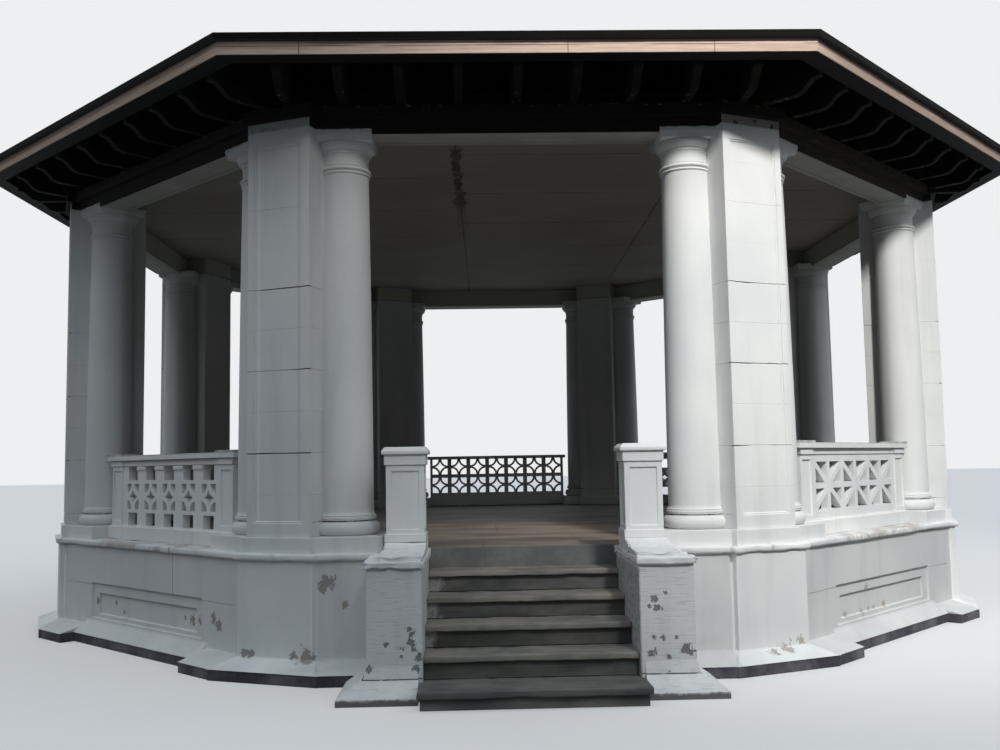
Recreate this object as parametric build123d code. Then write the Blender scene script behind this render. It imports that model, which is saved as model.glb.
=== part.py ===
"""Octagonal park gazebo. Millimetres, +Z up, ground at Z = 0.

It is modelled with the octagon centred on the Z axis, and moved back at the end so that the
origin lies under the middle of its footprint, which takes in the stairs. The front side faces -Y
and +X is its right hand. A bay is one side of the octagon: in its own frame it faces -Y, X runs
along it, and it is turned about Z by its bearing. Piers stand at the corners, square to the
diagonals.
"""
import os
from math import cos, radians, sin, tan

from build123d import *

# bearings of the bays and of the piers, degrees from the front toward the right
BAYS = {
    "front": 0,
    "front_right": 45,
    "right": 90,
    "back_right": 135,
    "back": 180,
    "back_left": 225,
    "left": 270,
    "front_left": 315,
}
PIERS = {
    "front_left": -22.5,
    "front_right": 22.5,
    "right_front": 67.5,
    "right_back": 112.5,
    "back_right": 157.5,
    "back_left": 202.5,
    "left_back": 247.5,
    "left_front": 292.5,
}
HALF = radians(22.5)

os.makedirs("parts", exist_ok=True)

# levels
KERB_TOP = 84
FOOT_TOP_PIER = 158
FOOT_TOP_BAY = 200
LEDGE_BOTTOM = 893
LEDGE_TOP = 950
FLOOR_BOTTOM = 755
FLOOR_TOP = 935
PLINTH_TOP = 1070
COURSE = 325
COURSES = 10
PIER_TOP = 4310
SOFFIT_BOTTOM = 4260
BAND_TOP = 4380
CORNICE_TOP = 4480
PLATE_TOP = 4600
CEILING_BOTTOM = 4517
CEILING_THICK = 30
EAVE_BOTTOM = 4625
EAVE_TOP = 4727
SHINGLE = 50

# plan of each course: apothem of the bay face, radius and half width of the corner block
KERB_PLAN = (4990, 5213, 483)
KERB_BAY = 4855
FOOT_PLAN = (5000, 5223, 493)
FOOT_BAY = 4865
WALL_PLAN = (4730, 5040, 335)
LEDGE_PLAN = (4768, 5072, 367)
LEDGE_ROUND = 12
FOOT_LIP = 16
FOOT_NOSE = 12
WALL_INNER = 4150
SHELF_INNER = 4400
JOG = 1090

# sunk panels of the base wall: half length, bottom, top, depth
PANEL_OUTER = (1000, 220, 545, 22)
PANEL_INNER = (890, 260, 450, 44)

# pedestal course under piers and columns
PLINTH_PLAN = (4700, 5020, 310)
PLINTH_INNER = 4078
PLINTH_INNER_R = 4229
WING_END = 1090

# pier
PIER_OUT = 4995
PIER_IN = 4254
PIER_HALF = 285
PIER_PANEL_HALF = 200
PIER_PANEL_LOW = 1175
PIER_PANEL_HIGH = 4180
PIER_PANEL_DEPTH = 18
JOINT_WIDE = 10
JOINT_DEEP = 8

# column
COL_S = 1407
COL_AP = 4389
SHAFT_LOW_R = 221
SHAFT_HIGH_R = 196
ABACUS_HALF = 248.5
ABACUS_LOW = 4220
# mouldings as (step out from the shaft, height): up from the plinth, and down from the abacus
COLUMN_BASE = (
    (33, 0),
    (46, 10),
    (51, 28),
    (51, 50),
    (45, 70),
    (31, 81),
    (19, 81),
    (19, 127),
    (3, 142),
    (0, 165),
)
COLUMN_HEAD = (
    (0, 242),
    (21, 232),
    (21, 202),
    (0, 193),
    (0, 95),
    (10, 92),
    (10, 74),
    (32, 48),
    (49, 4),
    (49, 0),
)

# stairs and cheek walls
STAIR_HALF = 750
SLAB_HALF = 780
SLAB_THICK = 50
SLAB_OVER = 45
SLAB_OVER_SIDE = 20
RISE = 161
FIRST_TOP = 130
SLAB_FRONT = 5820
TREAD_FRONTS = (5450, 5135, 4820, 4505)
FLOOR_FRONT = 4190
NOSE = 40
TREAD_THICK = 45
BLOCK_BACK = 4000
CHEEK_IN = 750
CHEEK_OUT = 1136
CHEEK_FRONT = 5500
CHEEK_OVER = 28
CHEEK_CAP_ROUND = 18
CHEEK_CAP_IN = 15
CHEEK_FLARE = 22
CHEEK_FLARE_TOP = 240
CHEEK_FOOT_EDGE = 45
CHEEK_FOOT_TOP = 156
CHEEK_FOOT_FRONT = 5620
CHEEK_FOOT_OUT = 1335
SCROLL_FRONT = 5480
SCROLL_EDGE = 980
SCROLL_SAG = 18
SCROLL_TOP = 1037

# newels
NEWEL_IN = 756
NEWEL_OUT = 1045
NEWEL_FRONT = 4905
NEWEL_BACK = 4615
NEWEL_BASE_TOP = 1096
NEWEL_BASE_OVER = 12
NEWEL_NECK_LOW = 1612
NEWEL_NECK_OVER = 13
NEWEL_CAP_LOW = 1692
NEWEL_CAP_EDGE = 1719
NEWEL_TOP = 1748
NEWEL_CAP_OVER = 32
NEWEL_CAP_SLOPE = 25
NEWEL_PANEL = (1130, 1566)
NEWEL_PANEL_EDGE = 42
NEWEL_PANEL_DEPTH = 12

# balustrades
RAIL_OUT = 4500
RAIL_IN = 4400
RAIL_BASE_OUT = 4540
RAIL_BASE_TOP = 1083
RAIL_LOW = 1645
RAIL_TOP = 1700
COPING_TOP = 1750
COPING_OVER = 30
COPING_END_RISE = 16
RAIL_HALF = WING_END
END_POST_IN = 880
END_POST_OUT = 1085
END_PANEL = (1125, 1600)
END_PANEL_EDGE = 22
END_PANEL_DEPTH = 14
NECK_OVER = 12
COPING_HALF = 1145
RAIL_FOOT_HALF = 1115
LATTICE_OUT = 4490
LATTICE_IN = 4415

# entablature
BEAM_OUT = 4650
BEAM_IN = 4330
BAND_PLAN = (4650, 4995, 285)
CORNICE_PLAN = (4700, 5035, 325)
PLATE_PLAN = (4600, 4930, 270)
SEAT_IN = 4450
SOFFIT_HALF = 1158.5
BOARD = 25

# roof
ROOF_PITCH = 1 / 3
FASCIA_OUT = 5360
FASCIA_THICK = 35
EAVE_OVER = 40
EAVE_OUT = FASCIA_OUT + EAVE_OVER
EAVE_STRIP = 25
EAVE_STRIP_WIDE = 135
RAFTER_WIDE = 70
RAFTER_COUNT = 4
HIP_RAFTER_IN = 409
RAFTER_STEP = (EAVE_OUT * tan(HALF) - HIP_RAFTER_IN) / RAFTER_COUNT
RAFTER_TAIL = FASCIA_OUT - FASCIA_THICK - EAVE_STRIP_WIDE
RAFTER_INNER = SEAT_IN + 10
RAFTER_TAIL_RISE = 112
RAFTER_CURVE = ((210, 0), (150, 20), (110, 60), (60, 98))
HIP_GAP = 10

CUT_SPARE = 200
MOVE_BACK = (SLAB_FRONT - EAVE_OUT) / 2


def turned(bearing, shape):
    return Rot(0, 0, bearing) * shape


def slab(points, low, high):
    """Prism over a plan polygon."""
    face = make_face(Polyline(*points, close=True))
    return Pos(0, 0, low) * extrude(face, amount=high - low, dir=(0, 0, 1))


def frustum(low_points, low, high_points, high):
    """Ruled solid between two plan polygons with the same number of corners."""
    bottom = Pos(0, 0, low) * make_face(Polyline(*low_points, close=True))
    top = Pos(0, 0, high) * make_face(Polyline(*high_points, close=True))
    return loft([bottom, top], ruled=True)


def bar(profile, start, end):
    """Prism along X over a profile of (apothem, height) points."""
    points = [(start, -out, up) for out, up in profile]
    face = make_face(Polyline(*points, close=True))
    return extrude(face, amount=end - start, dir=(1, 0, 0))


def block(x0, x1, out0, out1, z0, z1):
    """Box from x0 to x1, between two distances toward the front, from z0 to z1."""
    size = (x1 - x0, out1 - out0, z1 - z0)
    centre = ((x0 + x1) / 2, -(out0 + out1) / 2, (z0 + z1) / 2)
    return Pos(*centre) * Box(*size)


def corner(radius, half_width):
    """Point of a corner block, in the frame of the bay on its left."""
    return (radius * sin(HALF) - half_width * cos(HALF), -(radius * cos(HALF) + half_width * sin(HALF)))


def meeting(apothem, half_width):
    """Where the side of a corner block meets the plane of the bay."""
    radius = (apothem - half_width * sin(HALF)) / cos(HALF)
    return corner(radius, half_width)


def right_side(plan):
    apothem, radius, half_width = plan
    return [meeting(apothem, half_width), corner(radius, half_width), corner(radius, 0)]


def mirrored(points):
    return [(-x, y) for x, y in reversed(points)]


def bay_plan(plan, inner):
    """Outline of a course over one bay, from corner to corner, with a straight inner face."""
    right = right_side(plan) + [corner(inner / cos(HALF), 0)]
    return right + mirrored(right)


def grown(plan, amount):
    return tuple(value + amount for value in plan)


def octagon(apothem, turn=0):
    radius = apothem / cos(HALF)
    return [
        (radius * sin(radians(45 * i + 22.5 + turn)), -radius * cos(radians(45 * i + 22.5 + turn)))
        for i in range(8)
    ]


def joined(parts):
    whole = parts[0]
    for part in parts[1:]:
        whole = whole + part
    return whole


def save(name, *shapes):
    """Write one piece, or like pieces that don't touch, to a file."""
    moved = [Pos(0, MOVE_BACK, 0) * shape for shape in shapes]
    whole = moved[0] if len(moved) == 1 else Compound(children=moved)
    whole.label = name
    export_step(whole, os.path.join("parts", name + ".step"))


# base


def kerb_segment():
    corner_part = [(JOG, -KERB_PLAN[0])] + right_side(KERB_PLAN)
    bay = [(JOG, -KERB_BAY)] + corner_part + [corner(WALL_INNER / cos(HALF), 0)]
    return slab(bay + mirrored(bay), 0, KERB_TOP)


def base_segment():
    """Foot, wall and ledge over one bay."""
    seat = corner(WALL_INNER / cos(HALF), 0)
    low = [(JOG, -WALL_INNER), (JOG, -FOOT_PLAN[0])] + right_side(FOOT_PLAN) + [seat]
    high = [(JOG, -WALL_INNER), (JOG, -WALL_PLAN[0])] + right_side(WALL_PLAN) + [seat]
    foot_right = frustum(low, KERB_TOP, high, FOOT_TOP_PIER)
    foot_bay = bar(
        [
            (WALL_INNER, KERB_TOP),
            (FOOT_BAY, KERB_TOP),
            (WALL_PLAN[0] + FOOT_NOSE, FOOT_TOP_BAY - FOOT_LIP),
            (WALL_PLAN[0], FOOT_TOP_BAY),
            (WALL_INNER, FOOT_TOP_BAY),
        ],
        -JOG,
        JOG,
    )
    wall = slab(bay_plan(WALL_PLAN, WALL_INNER), FOOT_TOP_PIER, FLOOR_BOTTOM)
    upper = slab(bay_plan(WALL_PLAN, SHELF_INNER), FLOOR_BOTTOM, LEDGE_BOTTOM)
    full = bay_plan(LEDGE_PLAN, SHELF_INNER)
    less = bay_plan(grown(LEDGE_PLAN, -LEDGE_ROUND), SHELF_INNER)
    ledge = [
        frustum(less, LEDGE_BOTTOM, full, LEDGE_BOTTOM + LEDGE_ROUND),
        slab(full, LEDGE_BOTTOM + LEDGE_ROUND, LEDGE_TOP - LEDGE_ROUND),
        frustum(full, LEDGE_TOP - LEDGE_ROUND, less, LEDGE_TOP),
    ]
    foot_left = mirror(foot_right, about=Plane.YZ)
    return wall + foot_bay + foot_right + foot_left + upper + ledge


def sunk_panels():
    cuts = []
    for half, low, high, depth in (PANEL_OUTER, PANEL_INNER):
        cuts.append(block(-half, half, WALL_PLAN[0] - depth, WALL_PLAN[0] + 60, low, high))
    return cuts


segment = base_segment()
panelled = segment - sunk_panels()
kerb = kerb_segment()
stair_gap = block(
    -CHEEK_OUT, CHEEK_OUT, WALL_INNER - CUT_SPARE, KERB_PLAN[0] + CUT_SPARE, -CUT_SPARE, LEDGE_TOP + CUT_SPARE
)
for name, bearing in BAYS.items():
    if name == "front":
        save("base_wall_front", segment - stair_gap)
    else:
        save("base_wall_" + name, turned(bearing, panelled))

footing = kerb - stair_gap
for bearing in list(BAYS.values())[1:]:
    footing = footing + turned(bearing, kerb)
save("footing", footing)

floor = slab(octagon(SHELF_INNER), FLOOR_BOTTOM, FLOOR_TOP)
floor_gap_front = SHELF_INNER + CUT_SPARE
floor = floor - block(-STAIR_HALF, STAIR_HALF, FLOOR_FRONT, floor_gap_front, FLOOR_BOTTOM - 10, FLOOR_TOP + 10)
save("floor_slab", floor)

# stairs

fronts = list(TREAD_FRONTS) + [FLOOR_FRONT]
tops = [FIRST_TOP + RISE * (i + 1) for i in range(len(TREAD_FRONTS))]
slab_low = FIRST_TOP - SLAB_THICK
first = block(-SLAB_HALF, SLAB_HALF, CHEEK_FRONT, SLAB_FRONT, slab_low, FIRST_TOP)
treads = [first + block(-STAIR_HALF, STAIR_HALF, fronts[0] - NOSE, CHEEK_FRONT, slab_low, FIRST_TOP)]
riser_half = SLAB_HALF - SLAB_OVER_SIDE
stair_block = block(-STAIR_HALF, STAIR_HALF, fronts[0] - NOSE, CHEEK_FRONT, 0, slab_low)
stair_block = stair_block + block(-riser_half, riser_half, CHEEK_FRONT, SLAB_FRONT - SLAB_OVER, 0, slab_low)
for i, top in enumerate(tops):
    back = fronts[i + 1] if i + 1 == len(tops) else fronts[i + 1] - NOSE
    treads.append(block(-STAIR_HALF, STAIR_HALF, back, fronts[i], top - TREAD_THICK, top))
    step = block(-STAIR_HALF, STAIR_HALF, back, fronts[i] - NOSE, 0, top - TREAD_THICK)
    stair_block = stair_block + step
stair_block = stair_block + block(-STAIR_HALF, STAIR_HALF, BLOCK_BACK, FLOOR_FRONT, 0, FLOOR_BOTTOM)
save("stair_treads", *treads)
save("stair_block", stair_block)


def cheek_plan(out):
    """Outline of a cheek wall in front of the base wall, grown forward and outward."""
    inner = SLAB_HALF
    return [
        (inner, -FOOT_PLAN[0]),
        (CHEEK_OUT + out, -FOOT_PLAN[0]),
        (CHEEK_OUT + out, -CHEEK_FRONT - out),
        (inner, -CHEEK_FRONT - out),
    ]


def cheek_right():
    body = block(CHEEK_IN, CHEEK_OUT, SHELF_INNER, CHEEK_FRONT, 0, LEDGE_BOTTOM)
    rear = block(CHEEK_IN, CHEEK_OUT, WALL_INNER, SHELF_INNER, 0, FLOOR_BOTTOM)
    cap_in = CHEEK_IN - CHEEK_CAP_IN
    cap_out = CHEEK_OUT + CHEEK_OVER
    cap = block(cap_in, cap_out, LEDGE_PLAN[0], CHEEK_FRONT + CHEEK_OVER, LEDGE_BOTTOM, LEDGE_TOP)
    front_edges = cap.faces().sort_by(Axis.Y)[0].edges().filter_by(Axis.X)
    cap = fillet(cap.edges().filter_by(Axis.Y) + front_edges, CHEEK_CAP_ROUND)
    cap_rear = block(cap_in, CHEEK_OUT, SHELF_INNER, LEDGE_PLAN[0], LEDGE_BOTTOM, LEDGE_TOP)
    foot_low = [
        (SLAB_HALF, -FOOT_PLAN[0]),
        (CHEEK_FOOT_OUT, -FOOT_PLAN[0]),
        (CHEEK_FOOT_OUT, -CHEEK_FOOT_FRONT),
        (SLAB_HALF, -CHEEK_FOOT_FRONT),
    ]
    foot = slab(foot_low, 0, CHEEK_FOOT_EDGE)
    foot = foot + frustum(foot_low, CHEEK_FOOT_EDGE, cheek_plan(CHEEK_FLARE + 8), CHEEK_FOOT_TOP)
    flare = frustum(cheek_plan(CHEEK_FLARE), CHEEK_FOOT_TOP, cheek_plan(0), CHEEK_FLARE_TOP)
    return body + rear + cap + cap_rear + foot + flare + scroll_block()


def scroll_block():
    """Block under the newel, swept down in a hollow curve to the front of the cheek wall."""
    back = NEWEL_BACK - NEWEL_BASE_OVER
    step = NEWEL_FRONT + NEWEL_BASE_OVER
    start = NEWEL_IN - NEWEL_BASE_OVER
    end = NEWEL_OUT + NEWEL_BASE_OVER
    middle = ((step + SCROLL_FRONT) / 2, (SCROLL_TOP + SCROLL_EDGE) / 2 - SCROLL_SAG)
    sides = Polyline(
        (start, -SCROLL_FRONT, SCROLL_EDGE),
        (start, -SCROLL_FRONT, LEDGE_TOP),
        (start, -back, LEDGE_TOP),
        (start, -back, SCROLL_TOP),
        (start, -step, SCROLL_TOP),
    )
    sweep_down = ThreePointArc(
        (start, -step, SCROLL_TOP), (start, -middle[0], middle[1]), (start, -SCROLL_FRONT, SCROLL_EDGE)
    )
    return extrude(make_face([sides, sweep_down]), amount=end - start, dir=(1, 0, 0))


def newel_part(over, low, high):
    return block(NEWEL_IN - over, NEWEL_OUT + over, NEWEL_BACK - over, NEWEL_FRONT + over, low, high)


def newel_plan(over):
    return [
        (NEWEL_IN - over, -NEWEL_BACK + over),
        (NEWEL_OUT + over, -NEWEL_BACK + over),
        (NEWEL_OUT + over, -NEWEL_FRONT - over),
        (NEWEL_IN - over, -NEWEL_FRONT - over),
    ]


def newel_right():
    """Panelled post with a plinth, a necking block and a weathered cap."""
    post = newel_part(0, NEWEL_BASE_TOP, NEWEL_NECK_LOW)
    low, high = NEWEL_PANEL
    edge, depth = NEWEL_PANEL_EDGE, NEWEL_PANEL_DEPTH
    sunk = [
        block(NEWEL_IN + edge, NEWEL_OUT - edge, NEWEL_FRONT - depth, NEWEL_FRONT + 5, low, high),
        block(NEWEL_IN + edge, NEWEL_OUT - edge, NEWEL_BACK - 5, NEWEL_BACK + depth, low, high),
        block(NEWEL_OUT - depth, NEWEL_OUT + 5, NEWEL_BACK + edge, NEWEL_FRONT - edge, low, high),
        block(NEWEL_IN - 5, NEWEL_IN + depth, NEWEL_BACK + edge, NEWEL_FRONT - edge, low, high),
    ]
    weathering = frustum(
        newel_plan(NEWEL_CAP_OVER), NEWEL_CAP_EDGE, newel_plan(NEWEL_CAP_OVER - NEWEL_CAP_SLOPE), NEWEL_TOP
    )
    parts = [
        post - sunk,
        newel_part(NEWEL_BASE_OVER, SCROLL_TOP, NEWEL_BASE_TOP),
        newel_part(NEWEL_NECK_OVER, NEWEL_NECK_LOW, NEWEL_CAP_LOW),
        newel_part(NEWEL_CAP_OVER, NEWEL_CAP_LOW, NEWEL_CAP_EDGE),
        weathering,
    ]
    return joined(parts)


cheek = cheek_right()
save("cheek_wall_right", cheek)
save("cheek_wall_left", mirror(cheek, about=Plane.YZ))
newel = newel_right()
save("newel_right", newel)
save("newel_left", mirror(newel, about=Plane.YZ))

# piers and columns

COLUMN_PROFILE = [
    (0, PLINTH_TOP),
    *[(SHAFT_LOW_R + out, PLINTH_TOP + up) for out, up in COLUMN_BASE],
    *[(SHAFT_HIGH_R + out, ABACUS_LOW - down) for out, down in COLUMN_HEAD],
    (0, ABACUS_LOW),
]


def column():
    points = [(radius, 0, height) for radius, height in COLUMN_PROFILE]
    face = make_face(Polyline(*points, close=True))
    shaft = revolve(face, Axis.Z, 360)
    abacus = Pos(0, 0, (ABACUS_LOW + PIER_TOP) / 2) * Box(
        2 * ABACUS_HALF, 2 * ABACUS_HALF, PIER_TOP - ABACUS_LOW
    )
    return shaft + abacus


def wing_right():
    """Half of the pedestal course, on the right end of a bay, in the frame of that bay."""
    outer = [(WING_END, -PLINTH_PLAN[0])] + right_side(PLINTH_PLAN)
    on_shelf = outer + [corner(SHELF_INNER / cos(HALF), 0), (WING_END, -SHELF_INNER)]
    on_floor = [
        (WING_END, -SHELF_INNER),
        corner(SHELF_INNER / cos(HALF), 0),
        corner(PLINTH_INNER_R, 0),
        corner(PLINTH_INNER_R, PLINTH_PLAN[2]),
        (corner(PLINTH_INNER_R, PLINTH_PLAN[2])[0], -PLINTH_INNER),
        (WING_END, -PLINTH_INNER),
    ]
    return slab(on_shelf, LEDGE_TOP, PLINTH_TOP) + slab(on_floor, FLOOR_TOP, PLINTH_TOP)


def pier():
    """Pier on its plinth with a column on either side, in a frame where it faces -Y."""
    shaft = block(-PIER_HALF, PIER_HALF, PIER_IN, PIER_OUT, PLINTH_TOP, PIER_TOP)
    shaft = shaft - [
        block(-PIER_PANEL_HALF, PIER_PANEL_HALF, PIER_OUT - PIER_PANEL_DEPTH, PIER_OUT + 5, PIER_PANEL_LOW,
              PIER_PANEL_HIGH),
        block(-PIER_PANEL_HALF, PIER_PANEL_HALF, PIER_IN - 5, PIER_IN + PIER_PANEL_DEPTH, PIER_PANEL_LOW,
              PIER_PANEL_HIGH),
    ]
    ring_outer = block(-PIER_HALF - 5, PIER_HALF + 5, PIER_IN - 5, PIER_OUT + 5, 0, JOINT_WIDE)
    ring_inner = block(
        -PIER_HALF + JOINT_DEEP,
        PIER_HALF - JOINT_DEEP,
        PIER_IN + JOINT_DEEP,
        PIER_OUT - JOINT_DEEP,
        -5,
        JOINT_WIDE + 5,
    )
    ring = ring_outer - ring_inner
    shaft = shaft - [
        Pos(0, 0, PLINTH_TOP + COURSE * i - JOINT_WIDE / 2) * ring for i in range(1, COURSES)
    ]
    left = turned(-22.5, Pos(COL_S, -COL_AP, 0) * column())
    right = mirror(left, about=Plane.YZ)
    plinth_left = turned(-22.5, wing_right())
    plinth_right = mirror(plinth_left, about=Plane.YZ)
    return shaft + left + right + plinth_left + plinth_right


corner_pier = pier()
for name, bearing in PIERS.items():
    save("pier_" + name, turned(bearing, corner_pier))

# balustrades


def frame_of_rail():
    """Base rail, foot rail and coping, in the frame of a bay."""
    coping_in = RAIL_IN - COPING_OVER
    coping_out = RAIL_OUT + COPING_OVER
    return [
        block(-RAIL_HALF, RAIL_HALF, RAIL_IN, RAIL_BASE_OUT, LEDGE_TOP, PLINTH_TOP),
        block(-RAIL_FOOT_HALF, RAIL_FOOT_HALF, RAIL_IN, RAIL_OUT, PLINTH_TOP, RAIL_BASE_TOP),
        block(-COPING_HALF, COPING_HALF, coping_in, coping_out, RAIL_TOP, COPING_TOP),
    ]


def end_posts():
    """Panelled end posts, each with a necking block and a raised end of the coping, and the top rail."""
    low, high = END_PANEL
    x0 = END_POST_IN + END_PANEL_EDGE
    x1 = END_POST_OUT - END_PANEL_EDGE
    post = block(END_POST_IN, END_POST_OUT, RAIL_IN, RAIL_OUT, RAIL_BASE_TOP, RAIL_LOW)
    post = post - [
        block(x0, x1, RAIL_OUT - END_PANEL_DEPTH, RAIL_OUT + 5, low, high),
        block(x0, x1, RAIL_IN - 5, RAIL_IN + END_PANEL_DEPTH, low, high),
    ]
    neck = block(
        END_POST_IN - NECK_OVER, END_POST_OUT + NECK_OVER, RAIL_IN - NECK_OVER, RAIL_OUT + NECK_OVER, RAIL_LOW, RAIL_TOP
    )
    raised = block(
        END_POST_IN - COPING_OVER,
        COPING_HALF,
        RAIL_IN - COPING_OVER,
        RAIL_OUT + COPING_OVER,
        COPING_TOP,
        COPING_TOP + COPING_END_RISE,
    )
    right = [post, neck, raised]
    left = [mirror(part, about=Plane.YZ) for part in right]
    return right + left + [block(-END_POST_IN, END_POST_IN, RAIL_IN, RAIL_OUT, RAIL_LOW, RAIL_TOP)]


# Each lattice is drawn as a flat pattern of (x, height) and given its thickness in one step.


def cell(centre, wide, low, high):
    return Pos(centre, (low + high) / 2) * Rectangle(wide, high - low)


def thickened(pattern):
    plane = Plane(origin=(0, -LATTICE_IN, 0), x_dir=(1, 0, 0), z_dir=(0, -1, 0))
    return extrude(plane * pattern, amount=LATTICE_OUT - LATTICE_IN)


def corner_arcs(centre, wide, low, high, bar):
    """Quarter rings round the corners of a cell, which run together at the middles of its sides."""
    reach = max(wide, high - low) / 2 + ARC_LAP
    ring = Circle(reach) - Circle(reach - bar)
    window = cell(centre, wide, low, high)
    corners = [(centre + side * wide / 2, level) for side in (-1, 1) for level in (low, high)]
    return [window & (Pos(*point) * ring) for point in corners]


def slanted(x0, z0, x1, z1, wide):
    """Straight bar of the pattern between two points."""
    length = ((x1 - x0) ** 2 + (z1 - z0) ** 2) ** 0.5
    dx = (z1 - z0) / length * wide / 2
    dz = -(x1 - x0) / length * wide / 2
    points = [(x0 + dx, z0 + dz), (x1 + dx, z1 + dz), (x1 - dx, z1 - dz), (x0 - dx, z0 - dz)]
    return make_face(Polyline(*points, close=True))


ARC_LAP = 5

# first pattern: five tall cells with four arcs each, between small squares
CELL_COUNT = 5
CELL_PITCH = 343
CELL_WIDE = 230
SQUARE_WIDE = 177
CELL_LOW = 1235
CELL_HIGH = 1477
CELL_BORDER = 32
CELL_ARC = 40


def rail_squares():
    pattern = cell(0, 2 * END_POST_IN, RAIL_BASE_TOP, RAIL_LOW)
    for i in range(CELL_COUNT):
        centre = (i - (CELL_COUNT - 1) / 2) * CELL_PITCH
        pattern = pattern - cell(centre, SQUARE_WIDE, RAIL_BASE_TOP, CELL_LOW - CELL_BORDER)
        pattern = pattern - cell(centre, SQUARE_WIDE, CELL_HIGH + CELL_BORDER, RAIL_LOW)
        pattern = pattern - cell(centre, CELL_WIDE, CELL_LOW, CELL_HIGH)
        pattern = pattern + corner_arcs(centre, CELL_WIDE, CELL_LOW, CELL_HIGH, CELL_ARC)
    return joined(frame_of_rail() + end_posts() + [thickened(pattern)])


# second pattern: three cells, each with a cross and two diagonals
CROSS_COUNT = 3
CROSS_PITCH = 550
CROSS_LOW = 1160
CROSS_HIGH = 1580
CROSS_BAR = 52


def rail_crosses():
    pattern = cell(0, 2 * END_POST_IN, RAIL_BASE_TOP, RAIL_LOW)
    middle = (CROSS_LOW + CROSS_HIGH) / 2
    for i in range(CROSS_COUNT):
        centre = (i - (CROSS_COUNT - 1) / 2) * CROSS_PITCH
        window = cell(centre, CROSS_PITCH - CROSS_BAR, CROSS_LOW, CROSS_HIGH)
        x0 = centre - CROSS_PITCH / 2
        x1 = centre + CROSS_PITCH / 2
        bars = [
            slanted(x0, CROSS_LOW, x1, CROSS_HIGH, CROSS_BAR),
            slanted(x0, CROSS_HIGH, x1, CROSS_LOW, CROSS_BAR),
            slanted(x0, middle, x1, middle, CROSS_BAR),
            slanted(centre, CROSS_LOW, centre, CROSS_HIGH, CROSS_BAR),
        ]
        pattern = (pattern - window) + [window & bar_face for bar_face in bars]
    return joined(frame_of_rail() + end_posts() + [thickened(pattern)])


# third pattern: two rows of seven cells with four arcs each, right up to the coping
RING_COUNT = 7
RING_PITCH = 314.5
RING_BAR = 65
RING_ARC = 31
RING_ROWS = ((1148, 1397), (1454, RAIL_TOP))
RING_POST = 38


def rail_rings():
    half = RING_COUNT * RING_PITCH / 2 - RING_BAR / 2
    pattern = cell(0, 2 * (half + RING_POST), RAIL_BASE_TOP, RAIL_TOP)
    for i in range(RING_COUNT):
        centre = (i - (RING_COUNT - 1) / 2) * RING_PITCH
        wide = RING_PITCH - RING_BAR
        for low, high in RING_ROWS:
            pattern = pattern - cell(centre, wide, low, high)
            pattern = pattern + corner_arcs(centre, wide, low, high, RING_ARC)
    return joined(frame_of_rail() + [thickened(pattern)])


squares = rail_squares()
crosses = rail_crosses()
rings = rail_rings()
RAILS = {
    "front_left": squares,
    "back_right": squares,
    "front_right": crosses,
    "back_left": crosses,
    "right": rings,
    "back": rings,
    "left": rings,
}
for name, rail in RAILS.items():
    save("balustrade_" + name, turned(BAYS[name], rail))

# beams, soffits, ceiling


def beam_plan(plan):
    right = right_side(plan) + [
        corner(PIER_IN, 0),
        corner(PIER_IN, PIER_HALF),
        meeting(BEAM_IN, PIER_HALF),
    ]
    return right + mirrored(right)


def plate_plan(plan):
    right = right_side(plan) + [corner(SEAT_IN / cos(HALF), 0)]
    return right + mirrored(right)


band = slab(beam_plan(BAND_PLAN), PIER_TOP, BAND_TOP)
cornice = slab(beam_plan(CORNICE_PLAN), BAND_TOP, CORNICE_TOP)
seat = slab(beam_plan(PLATE_PLAN), CORNICE_TOP, CEILING_BOTTOM)
plate = slab(plate_plan(PLATE_PLAN), CEILING_BOTTOM, PLATE_TOP)
lip = block(-SOFFIT_HALF, SOFFIT_HALF, BEAM_OUT - BOARD, BEAM_OUT, SOFFIT_BOTTOM, PIER_TOP)
beam = band + cornice + seat + plate + lip
for name, bearing in BAYS.items():
    save("beam_" + name, turned(bearing, beam))

soffit = block(-SOFFIT_HALF, SOFFIT_HALF, BEAM_IN, BEAM_OUT - BOARD, SOFFIT_BOTTOM, PIER_TOP)
soffits = [turned(bearing, soffit) for bearing in BAYS.values()]
save("soffit_boards", *soffits)

ceiling = slab(octagon(SEAT_IN), CEILING_BOTTOM, CEILING_BOTTOM + CEILING_THICK)
save("ceiling", ceiling)

# roof


def under_roof(apothem):
    return EAVE_TOP + (FASCIA_OUT - FASCIA_THICK - apothem) * ROOF_PITCH


def rafter(offset):
    """One rafter of a bay, from above the ceiling to its shaped tail."""
    return bar(
        [
            (RAFTER_INNER, PLATE_TOP),
            (PLATE_PLAN[0], PLATE_TOP),
            (PLATE_PLAN[0], CORNICE_TOP),
            *[(RAFTER_TAIL - back, CORNICE_TOP + rise) for back, rise in RAFTER_CURVE],
            (RAFTER_TAIL, CORNICE_TOP + RAFTER_TAIL_RISE),
            (RAFTER_TAIL, under_roof(RAFTER_TAIL)),
            (RAFTER_INNER, under_roof(RAFTER_INNER)),
        ],
        offset - RAFTER_WIDE / 2,
        offset + RAFTER_WIDE / 2,
    )


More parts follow.
